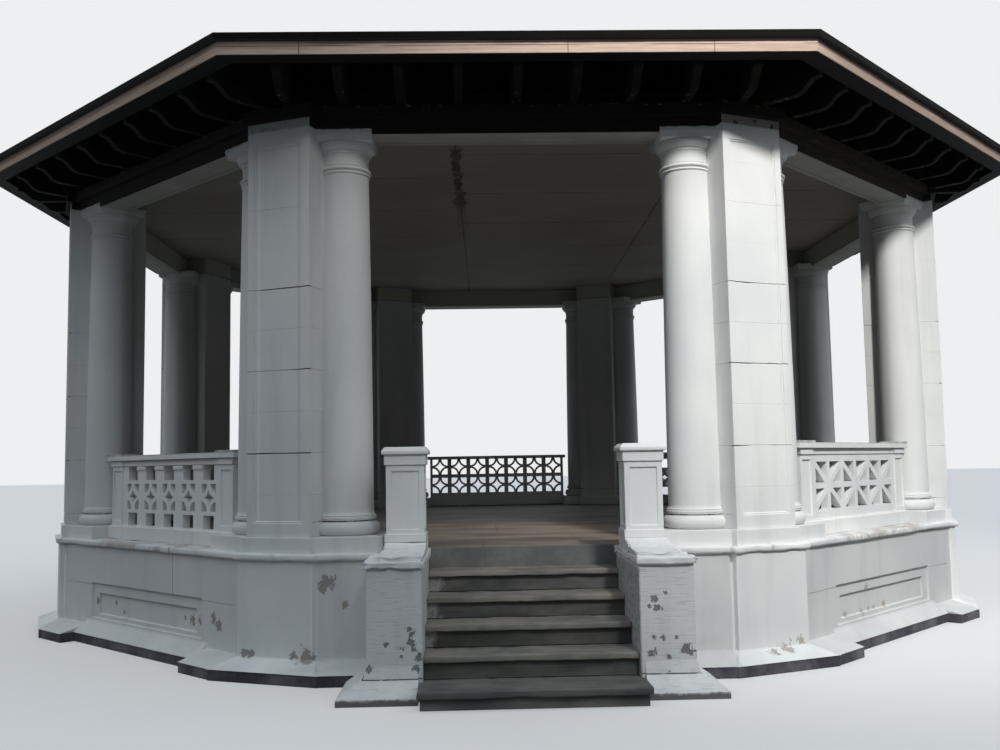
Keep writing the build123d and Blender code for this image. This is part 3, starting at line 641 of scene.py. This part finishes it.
def soffit_paint():
    p = Paint("soffit_paint")
    fine = p.noise(18.0, 5.0, 0.6)
    colour = p.mix((0.400, 0.390, 0.355), (0.480, 0.470, 0.430), p.step(p.noise(1.4, 3.0), 0.35, 0.65))
    chips_and_edge_line = p.step(p.noise(9.0, 5.0, 0.7), 0.72, 0.74)
    # Dark chips, and a dark line along the inner edge.
    chips_and_edge_line = chips_and_edge_line.largest(p.near(reach(p, BAY_LINES), SEAT_IN - 0.065, 0.007, 0.003) * 0.7)
    colour = p.mix(colour, (0.08, 0.07, 0.06), chips_and_edge_line)
    return p.finish(p.shade(colour, 1.03 - 0.08 * fine), 0.7, p.bump(fine, 0.2, 0.004), 0.15)


def dark_timber():
    """Beams and rafters, nearly black, with flaked edges, painted light on the outer faces at the right, and
    old white on the corner blocks in two tones of painted light and shade.
    """
    p = Paint("dark_timber")
    out = reach(p, BAY_LINES)
    past_beam = p.step(out, BEAM_OUT, BEAM_OUT + 0.040)
    grain = p.noise(6.0, 5.0, 0.65, p.stretched(0.7, 0.7, 9.0))
    colour = p.mix(BLACK_WOOD, (0.0105, 0.0085, 0.0068), p.step(grain, 0.35, 0.75))
    tail = p.step(out, TAILS_OUT, TAILS_OUT + 0.070)
    colour = p.mix(colour, (0.015, 0.012, 0.010), tail * 0.6)
    # Painted light: the beams' outer faces on the right are lighter.
    painted_light = p.step(p.x, 1.7, 3.0) * past_beam * p.step(out, BEAM_OUT + 0.200, BEAM_OUT + 0.150)
    colour = p.shade(colour, 1.0 + 3.0 * painted_light)
    edge = p.step(p.z, BEAM_EDGE_LOW, BEAM_EDGE_LOW + 0.012) * past_beam
    edge = edge * p.step(p.z, BEAM_EDGE_TOP, BEAM_EDGE_TOP - 0.012)
    fleck = p.step(p.noise(19.0, 5.0, 0.72), 0.585, 0.64) * edge
    colour = p.mix(colour, (0.150, 0.130, 0.110), fleck)
    inside = p.step(out, BEAM_IN + 0.012, BEAM_IN + 0.006)
    colour = p.mix(colour, (0.470, 0.450, 0.395), inside)
    block_face = p.step(reach(p, PIER_LINES), PIER_OUT - 0.012, PIER_OUT - 0.006)
    block_face = block_face * p.step(off_line(p, PIER_LINES), PIER_HALF + 0.003, PIER_HALF - 0.002)
    block_face = block_face * p.step(p.z, BAND_TOP - 0.002, BAND_TOP - 0.006)
    blots = p.step(p.noise(15.0, 3.0, 0.6), 0.56, 0.62)
    # Painted light and shade: the old white is lighter and less blotched on the shaded left than on the
    # right; the blots are dirt.
    shaded = p.step(p.x, 0.2, -0.2)
    old_white = p.mix((0.330, 0.315, 0.290), (0.480, 0.475, 0.460), shaded)
    old_white = p.mix(old_white, (0.060, 0.052, 0.046), blots * (1.0 - 0.75 * shaded))
    colour = p.mix(colour, old_white, block_face)
    return p.finish(colour, 0.8, p.bump(grain, 0.4, 0.004), 0.08)


def eave_wood():
    """Bare, weathered fascia board, redder along its top, painted lighter and darker along the front as
    painted light and shade, and black on its inner side as dark timber with painted shade.
    """
    p = Paint("fascia_wood")
    grain = p.noise(5.0, 6.0, 0.65, p.stretched(0.6, 0.6, 14.0))
    colour = p.mix((0.450, 0.325, 0.258), (0.620, 0.475, 0.385), p.step(grain, 0.30, 0.72))
    upper = p.step(p.z, EAVE_TOP - LAP_DOWN, EAVE_TOP - LAP_DOWN + 0.004)
    pink = p.mix((0.380, 0.260, 0.228), (0.660, 0.490, 0.440), p.step(p.noise(1.2, 3.0, 0.6), 0.40, 0.60))
    colour = p.mix(colour, pink, upper * 0.8)
    lap = p.near(p.z, EAVE_TOP - LAP_DOWN, 0.0040, 0.0018) * p.step(p.noise(1.6, 3.0, 0.6), 0.36, 0.50)
    lap = lap.largest(p.lines(p.x, BUTT_JOINTS, 0.0045) * p.step(p.y, -5.30, -5.33))
    drip = p.step(p.z, EAVE_TOP - 0.008, EAVE_TOP - 0.003)
    colour = p.mix(colour, (0.090, 0.045, 0.035), lap.largest(drip) * 0.85)
    # Painted light and shade: lighter toward the front left, darker toward the right.
    painted_light = 1.05 + 0.42 * p.step(p.x, -2.6, -2.0) - 0.42 * p.step(p.x, -1.5, 2.0)
    colour = p.shade(colour, painted_light - 0.44 * p.step(p.x, 2.0, 2.6))
    knots = p.node("ShaderNodeTexVoronoi", None, {"Vector": p.place, "Scale": 1.9})
    colour = p.mix(colour, (0.070, 0.045, 0.035), p.step(knots, 0.040, 0.020))
    # Black inner side: dark timber, with painted shade behind the board.
    inner = p.step(reach(p, BAY_LINES), FASCIA_OUT - 0.005, FASCIA_OUT - 0.009)
    colour = p.mix(colour, BLACK_WOOD, inner)
    return p.finish(colour, 0.78, p.bump(grain, 0.35, 0.003), 0.12)


def shingle_finish():
    """Courses of shingle tabs, each tab a little lighter or darker than the next."""
    p = Paint("roof_shingles")
    out = reach(p, BAY_LINES)
    grit = p.noise(160.0, 3.0, 0.7)
    row = ((EAVE_OUT + 0.002 - out) * (SHINGLE_ROWS / EAVE_OUT)).whole()
    along = off_line(p, BAY_LINES) / TAB_WIDTH + row * 0.37
    tone = p.noise(1.0, 3.0, 0.6, p.join(along.whole() * 3.7, row * 5.3, p.y * 0.02))
    colour = p.mix((0.022, 0.024, 0.028), (0.054, 0.054, 0.056), p.step(tone, 0.35, 0.65))
    slit = p.step(abs(along.fraction() - 0.5), 0.480, 0.490)
    colour = p.shade(colour, 1.0 - 0.6 * slit)
    moss = p.step(p.noise(0.7, 4.0), 0.55, 0.72)
    colour = p.mix(colour, (0.055, 0.056, 0.048), moss * 0.5)
    edge = p.step(out, EAVE_OUT - 0.006, EAVE_OUT - 0.002)
    colour = p.mix(colour, (0.0060, 0.0055, 0.0052), edge)
    return p.finish(p.shade(colour, 0.75 + 0.5 * grit), 0.9, p.bump(grit, 0.5, 0.003), 0.1)


paint = {
    "wall": wall_paint(),
    "cheek": cheek_paint(),
    "pier": pier_paint(),
    "newel": newel_paint(),
    "rail": rail_paint(),
    "riser": riser_stone(),
    "tread": tread_stone(),
    "floor": floor_stone(),
    "kerb": kerb_stone(),
    "ceiling": ceiling_paint(),
    "soffit": soffit_paint(),
    "timber": dark_timber(),
    "fascia": eave_wood(),
    "shingle": shingle_finish(),
}


# modelling helpers

FLAT_AREA = 0.008


def facing(degrees):
    """Turn from a bay's own frame, where it faces -Y round the octagon's centre, to its place."""
    return Matrix.Translation((0, CENTRE_Y, 0)) @ Matrix.Rotation(radians(degrees), 4, "Z")


def corner(radius, half_width):
    """Point out along the line of the pier at a bay's right, and half a width to the left of it."""
    return (radius * sin(HALF) - half_width * cos(HALF), -(radius * cos(HALF) + half_width * sin(HALF)))


def meeting(apothem, half_width):
    """Point where a bay's face meets the near side of that pier."""
    radius = (apothem - half_width * sin(HALF)) / cos(HALF)
    return corner(radius, half_width)


def block(bm, x0, x1, out0, out1, z0, z1):
    """Box from x0 to x1, between two distances toward the front, from z0 to z1."""
    size = Matrix.Diagonal((x1 - x0, out1 - out0, z1 - z0, 1))
    place = Matrix.Translation(((x0 + x1) / 2, -(out0 + out1) / 2, (z0 + z1) / 2))
    return bmesh.ops.create_cube(bm, size=1, matrix=place @ size)["verts"]


def plan_block(bm, points, z0, z1):
    """Prism over a plan outline."""
    ring = [bm.verts.new((x, y, z0)) for x, y in points]
    face = bm.faces.new(ring)
    up = bmesh.ops.extrude_face_region(bm, geom=[face], use_keep_orig=True)
    verts = [v for v in up["geom"] if isinstance(v, bmesh.types.BMVert)]
    bmesh.ops.translate(bm, verts=verts, vec=(0, 0, z1 - z0))


def cut_level(bm, z):
    """Cut every edge and face that crosses a level."""
    everything = bm.verts[:] + bm.edges[:] + bm.faces[:]
    bmesh.ops.bisect_plane(bm, geom=everything, plane_co=(0, 0, z), plane_no=(0, 0, 1))


def soften(bm, width, segments=2, angle=0.6, edges=None):
    """Bevel the edges sharper than an angle."""
    chosen = edges or bm.edges
    sharp = [e for e in chosen if len(e.link_faces) == 2 and e.calc_face_angle(0) > angle]
    bmesh.ops.bevel(
        bm,
        geom=sharp,
        offset=width,
        offset_type="OFFSET",
        segments=segments,
        profile=0.5,
        affect="EDGES",
        clamp_overlap=True,
        material=-1,
    )


def merge(bm, other):
    """Add another mesh to this one, and free it."""
    mesh = bpy.data.meshes.new("part")
    other.to_mesh(mesh)
    other.free()
    bm.from_mesh(mesh)
    bpy.data.meshes.remove(mesh)


def piece(name, bm, finish, replaces=(), smooth=35):
    """Close a mesh, put it in the scene and tie it to the frame."""
    bmesh.ops.remove_doubles(bm, verts=bm.verts, dist=0.00005)
    bmesh.ops.recalc_face_normals(bm, faces=bm.faces)
    mesh = bpy.data.meshes.new(name)
    bm.to_mesh(mesh)
    bm.free()
    mesh.materials.append(finish)
    obj = bpy.data.objects.new(name, mesh)
    bpy.context.scene.collection.objects.link(obj)
    if smooth:
        mesh.shade_smooth()
        mesh.set_sharp_from_angle(angle=radians(smooth))
        for face in mesh.polygons:
            if face.area > FLAT_AREA:
                face.use_smooth = False
    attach(obj, "root")
    if replaces:
        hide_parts(*replaces)
    return obj


def copies(name, bm, finish, places, nodes):
    """Like pieces at several bearings, each standing for its own CAD node."""
    for key, degrees in places.items():
        turned = bm.copy()
        bmesh.ops.transform(turned, matrix=facing(degrees), verts=turned.verts)
        piece(name + "_" + key, turned, finish, [nodes + key])
    bm.free()


def on_mitre(edge):
    """Whether an edge lies on the joint plane between two bays."""
    for vert in edge.verts:
        x, y = vert.co.x, vert.co.y - CENTRE_Y
        turn = (atan2(x, -y) - HALF) % (2 * HALF)
        gap = sqrt(x * x + y * y) * sin(min(turn, 2 * HALF - turn))
        if gap > 0.002:
            return False
    return True


def long_in_band(bm, cut, band):
    """Edges longer than a cut whose middle lies in a band of heights."""
    found = []
    for edge in bm.edges:
        middle = (edge.verts[0].co + edge.verts[1].co) / 2
        if edge.calc_length() > cut and band[0] < middle.z < band[1]:
            found.append(edge)
    return found


def wear_band(bm, chips, band, cut):
    """Divide a band of heights finely and eat into it by up to the depth of the chips."""
    cut_level(bm, band[0])
    for _ in range(5):
        long_edges = long_in_band(bm, cut, band)
        if not long_edges:
            break
        bmesh.ops.subdivide_edges(bm, edges=long_edges, cuts=1)
    low = band[0] + 0.0005
    uneven = [f for f in bm.faces if len(f.verts) > 4 and max(v.co.z for v in f.verts) > low]
    bmesh.ops.triangulate(bm, faces=uneven)
    for v in bm.verts:
        if low < v.co.z < band[1]:
            wave = noise.fractal(v.co * 6.0, 0.7, 2.2, 4)
            v.co += v.normal * min(0.0, wave) * chips
            v.co.z += noise.noise(v.co * 3.0) * chips * 0.3


def worn_copy(node, finish, width, segments=2, wear=None):
    """The CAD node's own shape with its edges rounded and, where wear is given, chipped."""
    bm = bmesh.new()
    bm.from_mesh(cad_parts[node].data)
    bmesh.ops.remove_doubles(bm, verts=bm.verts, dist=0.0002)
    bmesh.ops.dissolve_limit(bm, angle_limit=radians(0.5), verts=bm.verts, edges=bm.edges)
    soften(bm, width, segments, 0.6, [e for e in bm.edges if not on_mitre(e)])
    if wear:
        wear_band(bm, **wear)
    return piece(node + "_worn", bm, finish, [node])


# base, stairs and newels

LEDGE_WEAR = {"chips": 0.014, "band": (LEDGE_LOW, LEDGE_BAND_TOP), "cut": 0.06}
TREAD_WEAR = {"chips": 0.010, "band": (0.0, 0.80), "cut": 0.09}
CAP_WEAR = {"chips": 0.026, "band": (CHEEK_CAP_LOW, CHEEK_CAP_TOP), "cut": 0.04}

for key in BAYS:
    worn_copy("base_wall_" + key, paint["wall"], 0.008, 2, LEDGE_WEAR)
worn_copy("footing", paint["kerb"], 0.006)
worn_copy("floor_slab", paint["floor"], 0.008)
worn_copy("stair_treads", paint["tread"], 0.009, 3, TREAD_WEAR)
worn_copy("stair_block", paint["riser"], 0.004)
for side in ("left", "right"):
    worn_copy("cheek_wall_" + side, paint["cheek"], 0.012, 3, CAP_WEAR)
    worn_copy("newel_" + side, paint["newel"], 0.004)


# piers and columns


def arc(points, centre, radii, start, end, steps):
    """Add points of an elliptical arc to a profile of (radius, height)."""
    for i in range(steps + 1):
        angle = radians(start + (end - start) * i / steps)
        points.append((centre[0] + radii[0] * cos(angle), centre[1] + radii[1] * sin(angle)))


def column_profile():
    """Outline of a column from the middle of its foot to the middle of its top."""
    points = [(0.0, PLINTH_TOP), (0.236, PLINTH_TOP)]
    # torus and the small rolls over it
    arc(points, (0.220, 1.124), (0.052, 0.054), -72, 84, 12)
    points += [(0.222, 1.180), (0.222, 1.188), (0.2385, 1.190)]
    arc(points, (0.2300, 1.206), (0.0120, 0.014), -60, 80, 5)
    arc(points, (0.248, 1.262), (0.027, 0.040), 250, 180, 6)
    # shaft, which narrows faster toward its top
    low, high = 1.27, 3.952
    for i in range(13):
        t = i / 12
        radius = 0.221 - 0.025 * (0.35 * t + 0.65 * t * t)
        points.append((radius, low + (high - low) * t))
    # two rings, neck, fillets and echinus
    points += [(0.198, 3.958), (0.198, 3.962)]
    arc(points, (0.198, 3.973), (0.0115, 0.0105), -80, 80, 5)
    points += [(0.197, 3.986), (0.197, 3.990)]
    arc(points, (0.199, 4.006), (0.0185, 0.0155), -80, 80, 6)
    points += [(0.190, 4.023), (0.190, 4.030), (0.195, 4.032), (0.195, 4.108)]
    points += [(0.199, 4.110), (0.199, 4.122), (0.197, 4.124), (0.197, 4.127), (0.204, 4.129), (0.204, 4.141)]
    points += [(0.202, 4.144), (0.203, 4.148)]
    arc(points, (0.199, 4.208), (0.0465, 0.060), -68, 8, 8)
    points += [(0.238, 4.2165), (0.238, ABACUS_LOW), (0.0, ABACUS_LOW)]
    return points


def add_column(bm, place):
    """Turned column with its square abacus."""
    turned = bmesh.new()
    verts = [turned.verts.new((radius, 0, height)) for radius, height in column_profile()]
    edges = [turned.edges.new(pair) for pair in zip(verts, verts[1:])]
    bmesh.ops.spin(
        turned,
        geom=verts + edges,
        cent=(0, 0, 0),
        axis=(0, 0, 1),
        angle=2 * pi,
        steps=48,
        use_merge=True,
    )
    bmesh.ops.remove_doubles(turned, verts=turned.verts, dist=0.0001)
    slabs = bmesh.new()
    block(slabs, -ABACUS_HALF, ABACUS_HALF, -ABACUS_HALF, ABACUS_HALF, ABACUS_EDGE, PIER_TOP)
    under = block(slabs, -ABACUS_HALF, ABACUS_HALF, -ABACUS_HALF, ABACUS_HALF, ABACUS_LOW, ABACUS_EDGE)
    for v in under:
        inset = ABACUS_IN if v.co.z < ABACUS_EDGE - 0.01 else 0.004
        v.co.x -= inset if v.co.x > 0 else -inset
        v.co.y -= inset if v.co.y > 0 else -inset
    soften(slabs, 0.004)
    for part in (turned, slabs):
        bmesh.ops.transform(part, matrix=place, verts=part.verts)
        merge(bm, part)


def cut_joint(shaft, z, half, deep):
    """V joint round a pier at a level, of a half height and a depth."""
    for level in (z - half, z, z + half):
        cut_level(shaft, level)
    shaft.normal_update()
    shift = {}
    for v in shaft.verts:
        if abs(v.co.z - z) < 0.0005:
            away = Vector((v.normal.x, v.normal.y, 0))
            if away.length > 0.1:
                shift[v] = away.normalized() * deep
    for v, vec in shift.items():
        v.co -= vec


def add_shaft(bm):
    """Coursed pier with a sunk, moulded panel on its outer and inner faces."""
    shaft = bmesh.new()
    block(shaft, -PIER_HALF, PIER_HALF, PIER_IN, PIER_OUT, PLINTH_TOP, PIER_TOP)
    for side in (-1, 1):
        shaft.faces.ensure_lookup_table()
        face = next(f for f in shaft.faces if f.normal.y * side > 0.9)
        bmesh.ops.inset_region(shaft, faces=[face], thickness=PIER_HALF - PANEL_HALF, depth=0)
        for v in face.verts:
            v.co.z = PANEL_LOW if v.co.z < 2 else PANEL_HIGH
        for thickness, depth in PANEL_STEPS:
            bmesh.ops.inset_region(shaft, faces=[face], thickness=thickness, depth=depth)
    soften(shaft, 0.004, 2, 1.2)
    for i in range(1, COURSE_JOINTS + 1):
        half, deep = (0.0025, 0.003) if i % 2 else (0.004, 0.006)
        tight = 0.3 if i > OPEN_JOINTS else 1.0
        cut_joint(shaft, PLINTH_TOP + COURSE * i, half * tight, deep * tight)
    merge(bm, shaft)


def add_plinth(bm):
    """Pedestal course under a pier and its columns, in the pier's frame."""
    turn = Matrix.Rotation(-HALF, 4, "Z")
    half_width = PLINTH_PIER_HALF
    elbow = meeting(PLINTH_BAY_OUT, half_width)
    inner_corner = corner(PLINTH_PIER_IN, half_width)

    def turned(points):
        return [(turn @ Vector((x, y, 0))).to_2d().to_tuple() for x, y in points]

    def mirrored(points):
        return [(-x, y) for x, y in reversed(points)]

    outer = turned([(WING_END, -PLINTH_BAY_OUT), elbow, corner(PLINTH_PIER_OUT, half_width)])
    inner = turned([inner_corner, (inner_corner[0], -PLINTH_BAY_IN), (WING_END, -PLINTH_BAY_IN)])
    part = bmesh.new()
    plan_block(part, outer + mirrored(outer) + mirrored(inner) + inner, FLOOR_TOP, PLINTH_TOP)
    soften(part, 0.006)
    merge(bm, part)


def build_pier():
    """Pier, the column on either side of it and the plinth under all three."""
    bm = bmesh.new()
    add_shaft(bm)
    for side in (-1, 1):
        turn = Matrix.Rotation(side * HALF, 4, "Z")
        add_column(bm, turn @ Matrix.Translation((-side * COLUMN_ASIDE, -COLUMN_OUT, 0)))
    add_plinth(bm)
    return bm


copies("pier", build_pier(), paint["pier"], PIERS, "pier_")


# balustrades

for key in list(BAYS)[1:]:
    worn_copy("balustrade_" + key, paint["rail"], 0.003, 1)


def bar_heads():
    """Rounded heads on the bars of the first lattice, just under the top rail, on both faces."""
    bm = bmesh.new()
    for i in range(4):
        x = (i - 1.5) * BAR_PITCH
        for out0, out1 in BAR_HEAD_FACES:
            block(bm, x - BAR_HEAD_HALF, x + BAR_HEAD_HALF, out0, out1, BAR_HEAD_LOW, BAR_HEAD_TOP)
    soften(bm, 0.012, 3)
    return bm


for key in ("front_left", "back_right"):
    heads = bar_heads()
    bmesh.ops.transform(heads, matrix=facing(BAYS[key]), verts=heads.verts)
    piece("bar_heads_" + key, heads, paint["rail"])


# beams, soffits, ceiling

for key in BAYS:
    worn_copy("beam_" + key, paint["timber"], 0.005)
worn_copy("rafters_front", paint["timber"], 0.004, 1)
worn_copy("rafters_back", paint["timber"], 0.004, 1)
worn_copy("fascia", paint["fascia"], 0.003)
worn_copy("soffit_boards", paint["soffit"], 0.003)
worn_copy("ceiling", paint["ceiling"], 0.002)


# roof


def roof_ring(bm, apothem, z):
    """Eight corners of an octagon at a level."""
    radius = apothem / cos(HALF)
    angles = [pi / 8 + pi / 4 * i for i in range(8)]
    return [bm.verts.new((radius * sin(a), CENTRE_Y - radius * cos(a), z)) for a in angles]


def roof_band(bm, low, high):
    """Eight faces between two rings."""
    for i in range(8):
        j = (i + 1) % 8
        bm.faces.new((low[i], low[j], high[j], high[i]))


def roof_piece():
    """Hollow eight-sided roof with a course of shingles every 14 cm up the slope."""
    bm = bmesh.new()
    outer = roof_ring(bm, EAVE_OUT, EAVE_TOP)
    under = roof_ring(bm, FASCIA_IN, EAVE_TOP)
    roof_band(bm, under, outer)
    inner_top = bm.verts.new((0, CENTRE_Y, EAVE_TOP + FASCIA_IN * SLOPE))
    for i in range(8):
        bm.faces.new((under[i], inner_top, under[(i + 1) % 8]))
    lower = outer
    for i in range(SHINGLE_ROWS):
        apothem = EAVE_OUT * (1 - i / SHINGLE_ROWS)
        butt = roof_ring(bm, apothem, SHINGLE_TOP + (EAVE_OUT - apothem) * SLOPE)
        roof_band(bm, lower, butt)
        if i < SHINGLE_ROWS - 1:
            upper = EAVE_OUT * (1 - (i + 1) / SHINGLE_ROWS)
            lower = roof_ring(bm, upper, SHINGLE_TOP + (EAVE_OUT - upper) * SLOPE - SHINGLE_LIFT)
            roof_band(bm, butt, lower)
    top = bm.verts.new((0, CENTRE_Y, SHINGLE_TOP + EAVE_OUT * SLOPE))
    for i in range(8):
        bm.faces.new((butt[i], butt[(i + 1) % 8], top))
    return piece("roof_shingles", bm, paint["shingle"], ["roof"], 0)


roof_piece()


# stage, lights and camera

FLOOR_HALF = 120
FLOOR_DROP = 0.001
SENSOR_WIDTH = 36
FOCAL_OVER_WIDTH = 1018.6 / 1000
EYE = (-0.382, -12.627 + CENTRE_Y, 1.604)
LOOK_TURN = -1.56
LOOK_UP = 5.015
LOOK_ROLL = -0.986


def stage_floor():
    """Wide floor, pale where it is seen and darker in the light it throws back."""
    bm = bmesh.new()
    bmesh.ops.create_grid(bm, x_segments=1, y_segments=1, size=FLOOR_HALF)
    bmesh.ops.translate(bm, verts=bm.verts, vec=(0, 0, -FLOOR_DROP))
    mesh = bpy.data.meshes.new("floor")
    bm.to_mesh(mesh)
    bm.free()
    p = Paint("pale_floor")
    seen = p.node("ShaderNodeLightPath", out=0).largest(p.node("ShaderNodeLightPath", out=3))
    colour = p.mix((0.14, 0.14, 0.137), (0.52, 0.52, 0.515), seen)
    glow = p.mix((0.0, 0.0, 0.0), (0.27, 0.27, 0.275), seen)
    mesh.materials.append(p.finish(colour, 0.9, None, 0.0, glow))
    obj = bpy.data.objects.new("stage_floor", mesh)
    bpy.context.scene.collection.objects.link(obj)


def studio_world():
    """Soft light that comes mostly from above, before a pale backdrop."""
    world = bpy.data.worlds.new("studio")
    bpy.context.scene.world = world
    world.use_nodes = True
    nodes, links = world.node_tree.nodes, world.node_tree.links
    nodes.clear()
    light = nodes.new("ShaderNodeBackground")
    light.inputs["Color"].default_value = (0.82, 0.92, 1.0, 1)
    direction = nodes.new("ShaderNodeTexCoord")
    parts = nodes.new("ShaderNodeSeparateXYZ")
    height = nodes.new("ShaderNodeMapRange")
    height.interpolation_type = "SMOOTHSTEP"
    for index, value in ((1, 0.22), (2, 0.62), (3, 0.025), (4, 0.97)):
        height.inputs[index].default_value = value
    links.new(direction.outputs[0], parts.inputs[0])
    links.new(parts.outputs[2], height.inputs[0])
    links.new(height.outputs[0], light.inputs["Strength"])
    seen = nodes.new("ShaderNodeBackground")
    seen.inputs["Color"].default_value = (0.90, 0.91, 0.92, 1)
    seen.inputs["Strength"].default_value = 0.95
    path = nodes.new("ShaderNodeLightPath")
    mix = nodes.new("ShaderNodeMixShader")
    out = nodes.new("ShaderNodeOutputWorld")
    both = nodes.new("ShaderNodeMath")
    both.operation = "MAXIMUM"
    links.new(path.outputs["Is Camera Ray"], both.inputs[0])
    links.new(path.outputs["Is Glossy Ray"], both.inputs[1])
    links.new(both.outputs[0], mix.inputs[0])
    links.new(light.outputs[0], mix.inputs[1])
    links.new(seen.outputs[0], mix.inputs[2])
    links.new(mix.outputs[0], out.inputs[0])


def lamp(kind, name, place, aim, power, settings):
    """Soft, warm lamp at a place, turned toward a point."""
    data = bpy.data.lights.new(name, kind)
    data.energy = power
    data.color = (1.0, 0.985, 0.96)
    for key, value in settings.items():
        setattr(data, key, value)
    obj = bpy.data.objects.new(name, data)
    place, aim = Vector(place), Vector(aim)
    obj.location = place
    obj.rotation_mode = "QUATERNION"
    obj.rotation_quaternion = (place - aim).to_track_quat("Z", "Y")
    bpy.context.scene.collection.objects.link(obj)


def photo_camera():
    """Camera at eye height before the stairs, tilted up a little."""
    data = bpy.data.cameras.new("camera")
    data.sensor_width = SENSOR_WIDTH
    data.lens = FOCAL_OVER_WIDTH * SENSOR_WIDTH
    data.clip_end = 400
    obj = bpy.data.objects.new("camera", data)
    turn = Matrix.Rotation(radians(LOOK_TURN), 4, "Z") @ Matrix.Rotation(radians(90 + LOOK_UP), 4, "X")
    roll = Matrix.Rotation(radians(LOOK_ROLL), 4, "Z")
    obj.matrix_world = Matrix.Translation(EYE) @ turn @ roll
    bpy.context.scene.collection.objects.link(obj)
    bpy.context.scene.camera = obj


stage_floor()
studio_world()
spot_shape = {"spot_size": radians(41.5), "spot_blend": 0.9, "shadow_soft_size": 0.8}
lamp("SPOT", "front_lamp", (3.7, -16.5, 12.1), (3.4, -3.6, 4.3), 10400, spot_shape)
panel_shape = {"shape": "RECTANGLE", "size": 4.5, "size_y": 1.8}
lamp("AREA", "side_lamp", (10.2, -4.9, 7.6), (3.6, -2.2, 2.0), 70, panel_shape)
photo_camera()
bpy.context.scene.view_settings.view_transform = "Standard"
